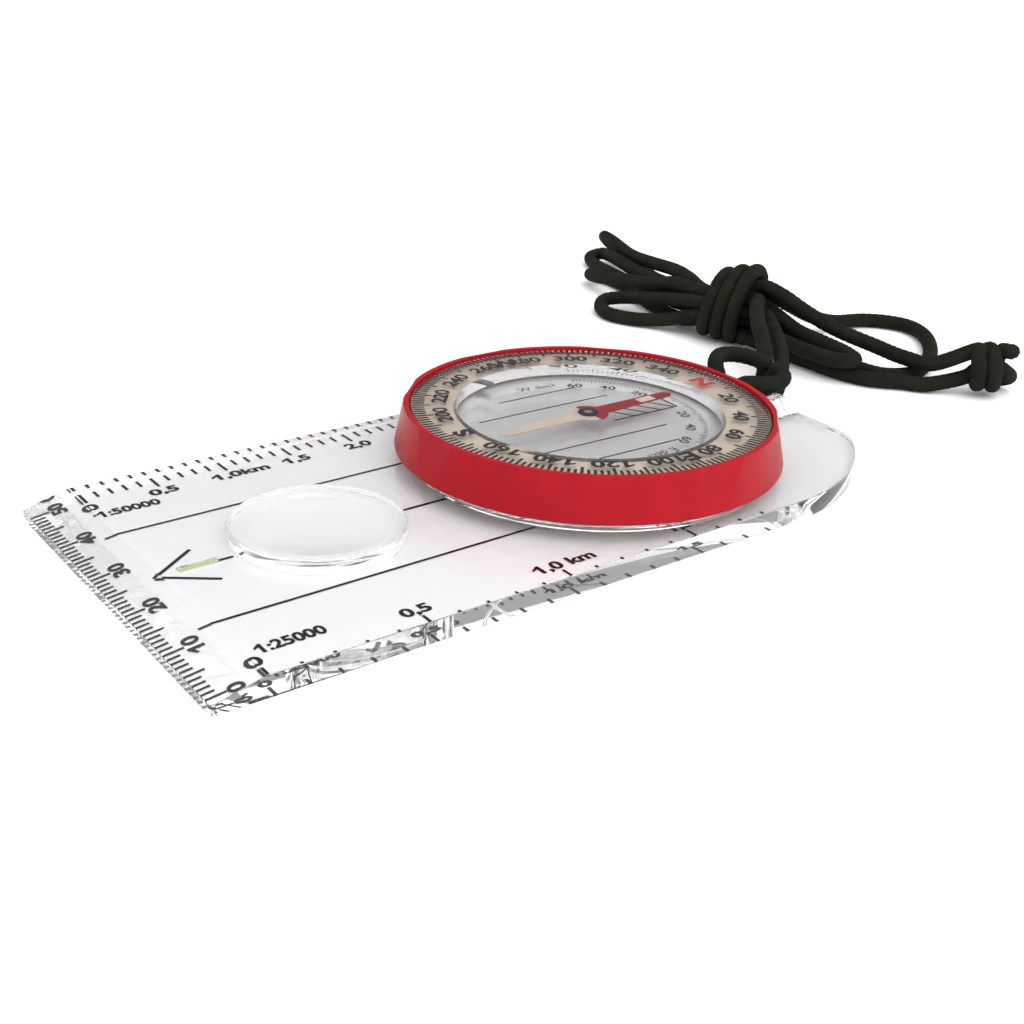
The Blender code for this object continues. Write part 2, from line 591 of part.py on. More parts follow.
def smooth_points(route, spacing):
    """Evenly spaced points on a smooth (Catmull-Rom) curve through a route's points."""
    points = [Vector(p) for p in route]
    points = [2 * points[0] - points[1], *points, 2 * points[-1] - points[-2]]
    fine = []
    for a, b, c, d in zip(points, points[1:], points[2:], points[3:]):
        for i in range(20):
            t = i / 20
            fine.append(
                0.5 * (2 * b + (c - a) * t + (2 * a - 5 * b + 4 * c - d) * t**2)
                + 0.5 * (3 * b - a - 3 * c + d) * t**3
            )
    fine.append(points[-2])
    lengths = [0.0]
    for here, there in zip(fine, fine[1:]):
        lengths.append(lengths[-1] + (there - here).length)
    count = max(round(lengths[-1] / spacing), 2)
    spaced = []
    index = 0
    for i in range(count + 1):
        target = lengths[-1] * i / count
        while index < len(fine) - 2 and lengths[index + 1] < target:
            index += 1
        share = (target - lengths[index]) / (lengths[index + 1] - lengths[index])
        spaced.append(fine[index].lerp(fine[index + 1], min(share, 1.0)))
    return spaced


def make_cord(name, route, finish, spacing=POINT_SPACING):
    points = smooth_points(route, spacing)
    curve = bpy.data.curves.new(name, "CURVE")
    curve.dimensions = "3D"
    curve.bevel_depth = CORD_SOLID_DIAMETER / 2 * MM
    curve.bevel_resolution = 2
    curve.use_fill_caps = True
    spline = curve.splines.new("POLY")
    spline.points.add(len(points) - 1)
    for point, place in zip(spline.points, points):
        point.co = (*(place * MM), 1.0)
    curve.materials.append(finish)
    cord = bpy.data.objects.new(name, curve)
    PARTS.objects.link(cord)


def make_lanyard(finish):
    for name, route in LANYARD_ROUTES.items():
        spacing = CORD_DIAMETER if name == "lanyard_tether" else POINT_SPACING
        make_cord(name, route, finish, spacing)
    foot, head = Vector(WRAP_FOOT), Vector(WRAP_HEAD)
    length = (head - foot).length
    edge = 1.3
    taper_z = WRAP_TAPER_FROM * length
    barrel = [(0, length), (WRAP_HEAD_RADIUS - edge, length)]
    barrel += list(arc((WRAP_HEAD_RADIUS - edge, length - edge), edge, 75, 15, 4))
    barrel += [(WRAP_FOOT_RADIUS, taper_z)]
    barrel += list(arc((WRAP_FOOT_RADIUS - edge, edge), edge, 0, -75, 4))
    barrel += [(WRAP_FOOT_RADIUS - edge, 0), (0, 0)]
    wrap = turned_mesh("lanyard_wrap", barrel, 32, closed=False)
    leaning = (head - foot).to_track_quat("Z", "Y").to_matrix().to_4x4()
    wrap.transform(Matrix.Translation(foot * MM) @ leaning)
    add_part("lanyard_wrap", wrap, finish)

    shape = bmesh.new()
    size = Vector(END_KNOT_SIZE) * MM
    placed = Matrix.Translation(Vector(END_KNOT_CENTRE) * MM) @ Matrix.Diagonal((*size, 1))
    bmesh.ops.create_uvsphere(shape, u_segments=20, v_segments=12, radius=0.5, matrix=placed)
    knot = bpy.data.meshes.new("lanyard_end_knot")
    shape.to_mesh(knot)
    shape.free()
    add_part("lanyard_end_knot", smooth(knot, 180.0), finish)


def make_axis(name, turn):
    axis = bpy.data.objects.new(name, None)
    axis.location = (0, CAPSULE_Y * MM, 0)
    axis.rotation_euler = (0, 0, math.radians(turn))
    PARTS.objects.link(axis)
    return axis


clear_scene()
PARTS = make_collection("baseplate_compass")
CUTTERS = make_collection("cutters")


def main():
    finishes = {name: make_finish(name) for name in FINISHES}
    plate_axis = make_axis("capsule_seat", 0.0)
    dial_axis = make_axis("dial_axis", DIAL_TURN)
    needle_axis = make_axis("needle_axis", NEEDLE_TURN)
    make_baseplate(finishes["clear_acrylic"])
    make_luminous_strip(finishes["luminous_green"])
    make_magnifier(finishes["clear_acrylic"])
    make_retaining_ring(finishes["clear_acrylic"], plate_axis)
    make_capsule_cup(finishes["clear_acrylic"], dial_axis)
    make_filling_plug(finishes["black_plastic"], dial_axis)
    make_dial_parts(finishes, dial_axis)
    make_bezel(finishes["red_plastic"], dial_axis)
    make_pivot_pin(finishes["steel"], dial_axis)
    make_needle_parts(finishes, needle_axis)
    make_lanyard(finishes["cord"])


main()
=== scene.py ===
"""Looks for the baseplate compass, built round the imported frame.

Lengths are in millimetres in the constants and in metres in Blender. +Y is the travel direction, +Z is up.
"""

import math

import bmesh
import bpy
import numpy as np
from mathutils import Matrix, Vector


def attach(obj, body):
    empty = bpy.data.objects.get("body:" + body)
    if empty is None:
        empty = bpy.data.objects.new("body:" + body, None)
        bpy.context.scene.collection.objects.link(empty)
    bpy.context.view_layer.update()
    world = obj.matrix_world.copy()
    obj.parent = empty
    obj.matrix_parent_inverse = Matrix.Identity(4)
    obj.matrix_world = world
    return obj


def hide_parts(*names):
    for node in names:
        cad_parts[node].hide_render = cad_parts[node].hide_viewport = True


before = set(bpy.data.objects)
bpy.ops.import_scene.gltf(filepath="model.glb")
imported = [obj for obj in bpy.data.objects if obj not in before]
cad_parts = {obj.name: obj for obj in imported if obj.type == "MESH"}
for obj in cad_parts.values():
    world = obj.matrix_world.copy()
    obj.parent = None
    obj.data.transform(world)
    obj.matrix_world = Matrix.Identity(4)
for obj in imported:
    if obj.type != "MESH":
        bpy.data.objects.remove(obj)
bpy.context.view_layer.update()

MM = 0.001
GUARD = 0.015

# Light, in metres. The studio's stops are (how far towards the dark end, grey).
STUDIO_DARK_END = (0.8, -0.6, 0.0)
STUDIO_STOPS = ((0.0, 1.0), (0.62, 1.0), (0.82, 0.24), (1.0, 0.24))
STUDIO_STRENGTH = 1.28
KEY_PLACE = (-0.45, 0.1, 0.6)
KEY_TARGET = (0, -0.02, 0)
KEY_SIZE = 0.7
KEY_POWER = 3.5
FLOOR_HALF_SIZE = 6
FLOOR_Z = -0.00005
MAX_BOUNCES = 48
TRANSMISSION_BOUNCES = 32
GLOSSY_BOUNCES = 40
DIFFUSE_BOUNCES = 4

# Camera
CAMERA_PLACE = (-129.5, 100.8, 73.8)
CAMERA_HEADING = -34.72
CAMERA_ELEVATION = 24.88
CAMERA_ROLL = 1.01
CAMERA_LENS = 46.9
CAMERA_SHIFT_X = 0.0857

# Plate
PLATE_THICKNESS = 2.8
PLATE_FRONT_Y = 55.0
PLATE_EDGE_ROUND = 0.22
FRONT_EDGE_THICKNESS = 1.3
FRONT_BEVEL_LENGTH = 6.25
PRINT_Z = 0.01
PRINT_THICKNESS = 0.03
STRIP_Y = (40.7, 45.6)
STRIP_HALF_WIDTH = 0.6
STRIP_BOTTOM_Z = 0.02
STRIP_THICKNESS = 0.3
MAGNIFIER_Y = 27.0
MAGNIFIER_RADIUS = 11.1
MAGNIFIER_DOME_RADIUS = 10.0
MAGNIFIER_GAP = 0.05
MAGNIFIER_WALL_TOP_Z = 3.6
MAGNIFIER_DOME = 0.8
RETAINER_RADIUS = 24.9
RETAINER_TOP_Z = 3.3

# Plate prints. The places along Y are distances back from the front edge.
RULER_ZERO_X = -25.1
RULER_TICK_START = 0.4
RULER_LONG_TICK_END = 3.1
RULER_SHORT_TICK_END = 2.2
RULER_LABEL_BACK = 4.3
SIDE_SCALE_BACK = 7.4
FAR_TICK_X = 26.5
FAR_LONG_TICK_X = 23.6
FAR_SHORT_TICK_X = 24.65
FAR_LABEL_X = 21.9
NEAR_TICK_X = -27.0
NEAR_LONG_TICK_X = -23.9
NEAR_SHORT_TICK_X = -25.1
NEAR_LABEL_X = -22.6
KM_LABEL_SHIFT = 1.4
GUIDE_X = 13.0

# Dial
CAPSULE_Y = -16.2
DIAL_TURN = 177.3
NEEDLE_TURN = 179.7
CAPSULE_BASE_Z = 3.0
FLANGE_RADIUS = 24.1
FLANGE_TOP_Z = 3.6
SKIRT_RADIUS = 23.0
SKIRT_WALL = 1.1
LEDGE_Z = 8.0
SKIRT_TOP_Z = 8.0
COVER_BOTTOM_Z = 9.3
CAPSULE_WALL_RADIUS = 18.4
COVER_RADIUS = 24.7
COVER_TOP_Z = 10.1
SCALE_Z = 10.04
FLOOR_PRINT_Z = 3.1
DIAL_PRINT_THICKNESS = 0.02
DIAL_TICK_RADIUS = 24.5
DIAL_LONG_TICK_RADIUS = 21.9
DIAL_SHORT_TICK_RADIUS = 22.7
DIAL_LABEL_RADIUS = 20.5
DECLINATION_TICK_RADIUS = 16.4
DECLINATION_LONG_TICK_RADIUS = 15.4
DECLINATION_SHORT_TICK_RADIUS = 15.8
DECLINATION_LABEL_RADIUS = 14.0
DECLINATION_NAME_RADIUS = 14.2
DECLINATION_NAME_BEARING = 84
SCALE_RING_PROFILE = [(24.6, 8.9, 0.5), (24.6, 8.2, 0.5), (18.6, 8.2, 0.5), (18.6, 8.9, 0.5)]
BEZEL_BOTTOM_Z = 4.5
BEZEL_TOP_Z = 10.5
BEZEL_BOTTOM_RADIUS = 26.8
BEZEL_TOP_RADIUS = 25.6
BEZEL_RIM_INNER_RADIUS = 24.8
BEZEL_BORE_RADIUS = 23.3
BEZEL_FACET_DEPTH = 0.35
BEZEL_FACET_COUNT = 8
BEZEL_FACET_HALF_ANGLE = 8.5
BEZEL_FACET_PHASE = 1.2

# Needle
NEEDLE_BOTTOM_Z = 6.3
NEEDLE_TOP_Z = 6.6
NEEDLE_HALF_LENGTH = 15.6
NEEDLE_HUB_RADIUS = 2.8
NEEDLE_ROOT_HALF_WIDTH = 1.35
NEEDLE_END_HALF_WIDTH = 0.95
NEEDLE_PATCH = [(-0.72, 9.2), (0.72, 9.2), (0.72, 12.0), (-0.72, 12.0)]
HUB_PROFILE = [
    (0, 7.3, 0), (0.66, 7.3, 0), (0.72, 7.42, 1), (1.2, 7.42, 1), (1.42, 7.25, 1),
    (1.42, 6.66, 0.5), (0, 6.66, 0),
]
HUB_TOP_PROFILE = [(0, 7.42, 0), (0.55, 7.42, 1), (0.64, 7.36, 0.5), (0.64, 7.28, 0), (0, 7.28, 0)]

# Lanyard
CORD_RADIUS = 1.3
WRAP_FOOT = (28.6, -82.0, 7.6)
WRAP_HEAD = (38.5, -77.2, 5.9)
WRAP_FOOT_RADIUS = 7.3
WRAP_HEAD_RADIUS = 5.6
WRAP_COIL_TURNS = 3.2
WRAP_COIL_START = 231.0
WRAP_COIL_LEAN = 1.6
WRAP_COIL_LENGTH = 11.1
END_KNOT_CENTRE = (-10.2, -93.8, 4.9)
END_KNOT_RADIUS = 2.9
BRAID_STRANDS = 8
BRAID_LAY = 1.15

# Stretches of cord outside the wrap
HITCH_LEFT = [
    (5.2, -58.8, 6.8), (8.4, -58.2, 7.3), (10.5, -56.2, 7.7), (10.8, -53.0, 8.0), (9.0, -50.2, 7.6),
    (6.7, -48.7, 6.3), (5.9, -48.8, 4.0), (5.9, -49.7, 2.0), (5.9, -51.8, 1.35), (5.9, -54.8, 1.35),
    (6.4, -57.8, 2.0), (7.8, -60.4, 4.4), (10.0, -62.6, 6.8), (13.6, -65.6, 8.2), (18.6, -69.8, 9.0),
    (23.2, -74.4, 9.8),
]
HITCH_RIGHT = [
    (5.2, -58.8, 6.8), (2.2, -58.2, 6.3), (0.6, -56.0, 6.1), (0.6, -52.8, 6.2), (2.1, -49.3, 6.4),
    (3.1, -48.8, 4.0), (3.1, -49.7, 2.0), (3.1, -51.8, 1.35), (3.1, -54.8, 1.35), (3.8, -58.4, 2.0),
    (5.6, -61.8, 4.0), (9.4, -66.0, 5.8), (14.4, -70.4, 6.8), (20.0, -75.0, 7.2), (23.6, -78.0, 7.1),
]
BIGHT_FRONT = [
    (41.6, -74.0, 3.0), (45.6, -73.0, 1.8), (50.0, -70.4, 1.35), (54.4, -69.0, 1.35), (58.6, -70.4, 1.35),
    (60.8, -73.2, 1.9), (57.6, -75.0, 2.9), (50.6, -75.4, 4.4), (44.2, -75.2, 5.8),
]
BIGHT_MIDDLE = [
    (46.0, -77.0, 8.2), (54.0, -78.2, 6.2), (63.0, -79.6, 4.6), (70.8, -80.4, 3.2), (76.4, -83.0, 2.2),
    (75.6, -86.2, 1.5), (68.0, -85.2, 1.35), (58.0, -81.4, 1.35), (49.0, -78.8, 1.35), (43.0, -77.4, 2.0),
]
BIGHT_REAR = [
    (47.0, -81.6, 5.6), (57.0, -84.0, 5.2), (66.0, -86.8, 4.4), (77.0, -91.4, 3.8), (84.0, -94.8, 3.0),
    (88.6, -96.8, 2.2), (89.4, -94.2, 1.5), (84.0, -91.2, 1.4), (75.6, -89.2, 1.4), (66.6, -87.4, 1.4),
    (56.0, -84.2, 2.4), (47.0, -79.6, 3.8),
]
BIGHT_LONG = [
    (47.0, -81.6, 8.4), (54.0, -84.8, 7.9), (66.0, -90.2, 6.0), (77.5, -95.4, 4.4), (89.9, -101.2, 4.1),
    (96.6, -104.6, 3.5), (98.2, -106.6, 2.2), (94.8, -105.8, 1.4), (88.0, -102.2, 1.35),
    (78.0, -97.6, 1.35), (65.4, -92.0, 2.2), (53.0, -86.0, 3.0), (46.0, -82.4, 2.9),
]
LOOP = [
    (27.2, -87.6, 7.0), (27.0, -93.8, 4.0), (27.4, -101.0, 1.8), (26.2, -107.6, 1.35),
    (22.8, -111.0, 1.35), (18.4, -112.0, 1.35), (13.2, -109.4, 1.35), (7.8, -103.8, 1.35),
    (3.4, -97.0, 1.35), (0.8, -89.8, 1.35), (2.8, -84.8, 1.35), (8.0, -83.8, 1.35),
    (13.6, -84.6, 1.35), (19.0, -85.0, 2.2), (23.4, -84.6, 3.6),
]
TURN = [
    (21.6, -78.2, 4.1), (16.0, -76.8, 4.2), (10.8, -76.4, 4.2), (6.6, -77.0, 4.2), (5.2, -79.4, 4.2),
    (9.0, -81.4, 4.2), (15.0, -81.8, 4.6), (20.4, -82.2, 5.0),
]
RUN_UPPER = [
    (24.6, -82.0, 10.4), (19.8, -84.2, 7.8), (14.6, -86.2, 5.8), (8.0, -87.8, 4.6), (1.6, -87.8, 4.2),
    (-3.4, -88.8, 4.4),
]
RUN_LOWER = [
    (25.2, -79.4, 1.5), (19.6, -79.4, 1.35), (14.0, -79.4, 1.35), (8.4, -79.4, 1.35), (3.0, -80.8, 1.35),
    (-1.0, -84.4, 1.35), (-4.2, -86.8, 1.4),
]

# Where each strand passes the two ends of the wrap: how far towards the viewer's side, and how far up
FOOT_SLOTS = {
    "tether_left": (2.9, 1.6), "tether_right": (2.6, -0.9), "run_upper": (0.4, 3.4),
    "loop_out": (-2.0, 1.9), "loop_back": (-1.4, -2.8), "turn_out": (1.6, -3.0), "turn_back": (0.0, 0.0),
}
HEAD_SLOTS = {
    "front_out": (2.4, -1.2), "front_back": (2.4, 1.1), "middle_out": (0.6, 2.6), "middle_back": (0.6, -2.6),
    "rear_out": (-2.7, 0.0), "rear_back": (0.0, 0.0), "long_out": (-1.7, 2.1),
}


# ---------------------------------------------------------------- materials

def srgb(red, green, blue):
    """A colour given as 0-255 sRGB values, in the linear values that Blender uses."""
    linear = []
    for value in (red, green, blue):
        share = value / 255
        linear.append(share / 12.92 if share <= 0.04045 else ((share + 0.055) / 1.055) ** 2.4)
    return (*linear, 1.0)


class Finish:
    """A node material with one Principled shader, and short ways to add procedural detail to it."""

    def __init__(self, name, color, roughness=0.5, **settings):
        self.material = bpy.data.materials.new(name)
        self.material.use_nodes = True
        self.tree = self.material.node_tree
        self.shader = self.tree.nodes["Principled BSDF"]
        self.shader.inputs["Base Color"].default_value = color
        self.shader.inputs["Roughness"].default_value = roughness
        for label, value in settings.items():
            self.shader.inputs[label.replace("_", " ")].default_value = value
        self.color = color
        self.place = self.add("ShaderNodeTexCoord").outputs["Object"]

    def add(self, kind, **settings):
        node = self.tree.nodes.new(kind)
        for label, value in settings.items():
            setattr(node, label, value)
        return node

    def link(self, output, node_input):
        self.tree.links.new(output, node_input)

    def noise(self, scale, detail=3.0, roughness=0.5):
        node = self.add("ShaderNodeTexNoise")
        node.inputs["Scale"].default_value = scale
        node.inputs["Detail"].default_value = detail
        node.inputs["Roughness"].default_value = roughness
        self.link(self.place, node.inputs["Vector"])
        return node.outputs["Fac"]

    def ramp(self, value, stops):
        """A colour ramp from (position, colour) stops."""
        node = self.add("ShaderNodeValToRGB")
        elements = node.color_ramp.elements
        while len(elements) < len(stops):
            elements.new(0.5)
        for element, (position, color) in zip(elements, stops):
            element.position = position
            element.color = color
        self.link(value, node.inputs["Fac"])
        return node.outputs["Color"]

    def vary_color(self, value, darker, lighter, low=0.35, high=0.65):
        """Base colour moves between two multiples of the finish's colour."""
        stops = []
        for position, factor in ((low, darker), (high, lighter)):
            shade = [min(channel * factor, 1.0) for channel in self.color[:3]]
            stops.append((position, (*shade, 1.0)))
        self.link(self.ramp(value, stops), self.shader.inputs["Base Color"])

    def vary_roughness(self, value, low, high):
        node = self.add("ShaderNodeMapRange")
        node.inputs["To Min"].default_value = low
        node.inputs["To Max"].default_value = high
        self.link(value, node.inputs["Value"])
        self.link(node.outputs["Result"], self.shader.inputs["Roughness"])

    def bump(self, value, strength, distance):
        node = self.add("ShaderNodeBump")
        node.inputs["Strength"].default_value = strength
        node.inputs["Distance"].default_value = distance * MM
        self.link(value, node.inputs["Height"])
        self.link(node.outputs["Normal"], self.shader.inputs["Normal"])


def clear_finish(name, tint, roughness):
    """Clear acrylic: a little roughness that varies, and the faint waviness of a moulding."""
    finish = Finish(name, tint, roughness, Transmission_Weight=1.0, IOR=1.49)
    finish.vary_roughness(finish.noise(900, 4), roughness * 0.5, roughness * 1.6)
    finish.bump(finish.noise(90, 2), 0.1, 0.05)
    return finish.material


def plastic_finish(name, color, roughness, grain=2500.0, depth=0.02, shine=0.35):
    finish = Finish(name, color, roughness, Specular_IOR_Level=shine)
    grain_noise = finish.noise(grain, 4, 0.6)
    finish.vary_color(finish.noise(260, 3), 0.94, 1.06)
    finish.vary_roughness(grain_noise, roughness * 0.8, roughness * 1.2)
    finish.bump(grain_noise, 0.35, depth)
    return finish.material


def ink_finish(name, color, roughness=0.45):
    """Printed ink: even, with the faint unevenness of a screen print."""
    finish = Finish(name, color, roughness, Specular_IOR_Level=0.08)
    finish.vary_color(finish.noise(4000, 3), 0.9, 1.12)
    finish.vary_roughness(finish.noise(1500, 2), roughness * 0.85, roughness * 1.15)
    return finish.material


def cord_finish():
    """Dark olive nylon braid: colour varied by fine flecks and broad clouds of noise, with fine fibres across
    it from the fleck bump.
    """
    finish = Finish("cord_braid", srgb(25, 29, 21), 0.8, Specular_IOR_Level=0.04)
    fleck = finish.noise(5200, 4, 0.7)
    cloud = finish.noise(420, 3)
    mixed = finish.add("ShaderNodeMath", operation="MULTIPLY_ADD")
    finish.link(fleck, mixed.inputs[0])
    mixed.inputs[1].default_value = 0.65
    part = finish.add("ShaderNodeMath", operation="MULTIPLY")
    finish.link(cloud, part.inputs[0])
    part.inputs[1].default_value = 0.35
    finish.link(part.outputs[0], mixed.inputs[2])
    finish.vary_color(mixed.outputs[0], 0.6, 1.5, 0.36, 0.64)
    finish.vary_roughness(fleck, 0.6, 0.85)
    finish.bump(fleck, 0.5, 0.05)
    return finish.material


def make_finishes():
    return {
        "plate": clear_finish("clear_acrylic_plate", (0.952, 0.956, 0.96, 1.0), 0.012),
        "capsule": clear_finish("clear_acrylic_capsule", (1.0, 1.0, 1.0, 1.0), 0.01),
        "ink": ink_finish("black_ink", srgb(24, 24, 28)),
        "red_ink": ink_finish("red_ink", srgb(205, 38, 48)),
        "luminous": ink_finish("luminous_paint", srgb(196, 216, 156), 0.6),
        "bezel": plastic_finish("red_plastic", srgb(153, 20, 30), 0.34, shine=0.08),
        "greige": plastic_finish("greige_plastic", srgb(214, 196, 176), 0.55, grain=1400.0),
        "needle_red": plastic_finish(
            "needle_red_paint", srgb(164, 16, 26), 0.42, grain=3500.0, depth=0.01, shine=0.08),
        "needle_cream": plastic_finish(
            "needle_cream_paint", srgb(226, 206, 192), 0.5, grain=3500.0, depth=0.01, shine=0.08),
        "needle_pale": ink_finish("needle_luminous_paint", srgb(240, 214, 200), 0.6),
        "black": plastic_finish("black_plastic", srgb(16, 16, 18), 0.4, shine=0.08),
        "grey": plastic_finish("grey_plastic", srgb(128, 130, 134), 0.35),
        "steel": plastic_finish("steel", srgb(190, 192, 196), 0.25),
        "cord": cord_finish(),
    }


# ---------------------------------------------------------------- mesh helpers

def mesh_from(name, verts, faces, angle=None):
    mesh = bpy.data.meshes.new(name)
    mesh.from_pydata([tuple(v) for v in verts], [], [tuple(f) for f in faces])
    mesh.update()
    if angle:
        mesh.shade_smooth()
        mesh.set_sharp_from_angle(angle=math.radians(angle))
    return mesh


def add_piece(name, mesh, material, body, place=None):
    """A new piece of the object. Its mesh is in metres, in the object's frame, or in its own with a place."""
    piece = bpy.data.objects.new(name, mesh)
    bpy.context.scene.collection.objects.link(piece)
    if place is not None:
        mesh.transform(place)
    mesh.materials.clear()
    mesh.materials.append(material)
    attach(piece, body)
    return piece


def fillet(corners, radius, steps=4):
    """The closed outline with each corner (x, y, share of the radius) rounded by an arc-like curve.
    A guard point beyond each end of the curve keeps the smooth shading off the straight sides."""
    points = []
    count = len(corners)
    for i, (x, y, share) in enumerate(corners):
        here = Vector((x, y))
        if share == 0:
            points.append(here)
            continue
        before = Vector(corners[i - 1][:2]) - here
        after = Vector(corners[(i + 1) % count][:2]) - here
        reach = min(radius * share, before.length * 0.45, after.length * 0.45)
        start = here + before.normalized() * reach
        end = here + after.normalized() * reach
        points.append(start + before.normalized() * GUARD)
        for k in range(steps + 1):
            t = k / steps
            points.append(start * (1 - t) ** 2 + here * 2 * t * (1 - t) + end * t * t)
        points.append(end + after.normalized() * GUARD)
    return points


def turned(name, corners, radius=0.15, steps=256, rounding=4, angle=30.0):
    """A closed solid turned about Z from corners (r, z, share of the edge radius), listed down the outside.
    Corners on the axis close it."""
    profile = fillet(corners, radius, rounding)
    verts, rings = [], []
    for r, z in profile:
        if r < 1e-6:
            rings.append([len(verts)] * steps)
            verts.append((0.0, 0.0, z * MM))
            continue
        rings.append(list(range(len(verts), len(verts) + steps)))
        for k in range(steps):
            turn = 2 * math.pi * k / steps
            verts.append((r * math.cos(turn) * MM, r * math.sin(turn) * MM, z * MM))
    faces = []
    for i, upper in enumerate(rings):
        lower = rings[(i + 1) % len(rings)]
        if upper[0] == upper[1] and lower[0] == lower[1]:
            continue
        for k in range(steps):
            m = (k + 1) % steps
            face = []
            for corner in (upper[k], lower[k], lower[m], upper[m]):
                if corner not in face:
                    face.append(corner)
            faces.append(face)
    return mesh_from(name, verts, faces, angle)


class Layer:
    """Thin flat shapes at one height, such as print, collected into one mesh."""

    def __init__(self, bottom_z, thickness):
        self.bottom, self.top = bottom_z, bottom_z + thickness
        self.verts, self.faces = [], []

    def polygon(self, outline):
        """A slab with this outline of (x, y), anticlockwise seen from above."""
        first, count = len(self.verts), len(outline)
        for z in (self.bottom, self.top):
            for x, y in outline:
                self.verts.append((x * MM, y * MM, z * MM))
        self.faces.append(tuple(range(first + count, first + 2 * count)))
        self.faces.append(tuple(range(first + count - 1, first - 1, -1)))
        for i in range(count):
            j = (i + 1) % count
            self.faces.append((first + i, first + j, first + count + j, first + count + i))

    def line(self, start, end, width):
        a, b = Vector(start), Vector(end)
        side = (b - a).normalized() * width / 2
        side = Vector((-side.y, side.x))
        self.polygon([a - side, b - side, b + side, a + side])

    def text(self, words, size, place, turn=0.0, align="CENTER", bold=0.09, stretch=1.25):
        """Bold, wide words centred on a place in height, turned anticlockwise in degrees."""
        curve = bpy.data.curves.new("words", "FONT")
        curve.body = words
        curve.size = size * MM
        curve.align_x = align
        curve.align_y = "CENTER"
        curve.resolution_u = 4
        curve.offset = bold * MM
        curve.extrude = (self.top - self.bottom) / 2 * MM
        holder = bpy.data.objects.new("words", curve)
        bpy.context.scene.collection.objects.link(holder)
        bpy.context.view_layer.update()
        graph = bpy.context.evaluated_depsgraph_get()
        mesh = bpy.data.meshes.new_from_object(holder.evaluated_get(graph))
        bpy.data.objects.remove(holder)
        middle = (place[0] * MM, place[1] * MM, (self.top + self.bottom) / 2 * MM)
        turned_round = Matrix.Rotation(math.radians(turn), 4, "Z") @ Matrix.Diagonal((stretch, 1, 1, 1))
        in_place = Matrix.Translation(middle) @ turned_round
        if words.startswith("1"):
            self.flag_of_one(mesh, size, bold, in_place)
        mesh.transform(in_place)
        first = len(self.verts)
        self.verts += [tuple(v.co) for v in mesh.vertices]
        self.faces += [tuple(first + i for i in p.vertices) for p in mesh.polygons]

    def flag_of_one(self, mesh, size, bold, in_place):
        """The flag on the leading figure one, which the font draws as a bare stem."""
        left = min(v.co.x for v in mesh.vertices)
        stem = (0.09 * size + 2 * bold) * MM
        top = max(v.co.y for v in mesh.vertices if v.co.x < left + stem)
        reach = 0.22 * size * MM
        flag = [
            (left + stem / 2, top), (left - reach, top - reach), (left - reach, top - reach - stem),
            (left + stem / 2, top - 1.2 * stem),
        ]
        self.polygon([(in_place @ Vector((x, y, 0.0))).xy / MM for x, y in flag])

    def build(self, name):
        mesh = mesh_from(name, self.verts, self.faces)
        shape = bmesh.new()
        shape.from_mesh(mesh)
        bmesh.ops.remove_doubles(shape, verts=shape.verts, dist=1e-8)
        shape.to_mesh(mesh)
        shape.free()
        return mesh


# ---------------------------------------------------------------- camera, light and floor

def make_camera():
    camera = bpy.data.objects.new("camera", bpy.data.cameras.new("camera"))
    bpy.context.scene.collection.objects.link(camera)
    heading, down = math.radians(CAMERA_HEADING), math.radians(CAMERA_ELEVATION)
    ahead = Vector((math.cos(heading) * math.cos(down), math.sin(heading) * math.cos(down), -math.sin(down)))
    level = ahead.cross(Vector((0, 0, 1))).normalized()
    upright = level.cross(ahead)
    roll = math.radians(CAMERA_ROLL)
    right = level * math.cos(roll) + upright * math.sin(roll)
    up = upright * math.cos(roll) - level * math.sin(roll)
    turn = Matrix((right, up, -ahead)).transposed().to_4x4()
    camera.matrix_world = Matrix.Translation(Vector(CAMERA_PLACE) * MM) @ turn
    camera.data.sensor_width = 36.0
    camera.data.lens = CAMERA_LENS
    camera.data.shift_x = CAMERA_SHIFT_X
    camera.data.clip_start = 0.005
    camera.data.clip_end = 50.0
    bpy.context.scene.camera = camera


def make_world():
    """A white studio that darkens towards one end, so that the clear faces have something to mirror."""
    world = bpy.data.worlds.new("studio")
    bpy.context.scene.world = world
    world.use_nodes = True
    tree = world.node_tree
    background = tree.nodes["Background"]
    place = tree.nodes.new("ShaderNodeTexCoord")
    toward = tree.nodes.new("ShaderNodeVectorMath")
    toward.operation = "DOT_PRODUCT"
    toward.inputs[1].default_value = STUDIO_DARK_END
    ramp = tree.nodes.new("ShaderNodeValToRGB")
    tree.links.new(place.outputs["Generated"], toward.inputs[0])
    tree.links.new(toward.outputs["Value"], ramp.inputs["Fac"])
    tree.links.new(ramp.outputs["Color"], background.inputs["Color"])
    elements = ramp.color_ramp.elements
    elements.new(0.5)
    elements.new(0.8)
    for element, (position, grey) in zip(elements, STUDIO_STOPS):
        element.position = position
        element.color = (grey, grey, grey, 1.0)
    background.inputs["Strength"].default_value = STUDIO_STRENGTH


def make_light(name, place, target, size, power):
    light = bpy.data.lights.new(name, "AREA")
    light.shape = "DISK"
    light.size = size
    light.energy = power
    holder = bpy.data.objects.new(name, light)
    bpy.context.scene.collection.objects.link(holder)
    toward = Vector(target) - Vector(place)
    turn = toward.to_track_quat("-Z", "Y").to_matrix().to_4x4()
    holder.matrix_world = Matrix.Translation(place) @ turn


def make_floor():
    floor_material = Finish("floor_white", (0.95, 0.95, 0.95, 1.0), 0.9)
    floor_material.vary_color(floor_material.noise(3, 2), 0.995, 1.005)
    reach = FLOOR_HALF_SIZE
    verts = [(x, y, FLOOR_Z) for x, y in ((-reach, -reach), (reach, -reach), (reach, reach), (-reach, reach))]
    mesh = mesh_from("floor", verts, [(0, 1, 2, 3)])
    mesh.materials.append(floor_material.material)
    floor = bpy.data.objects.new("floor", mesh)
    bpy.context.scene.collection.objects.link(floor)


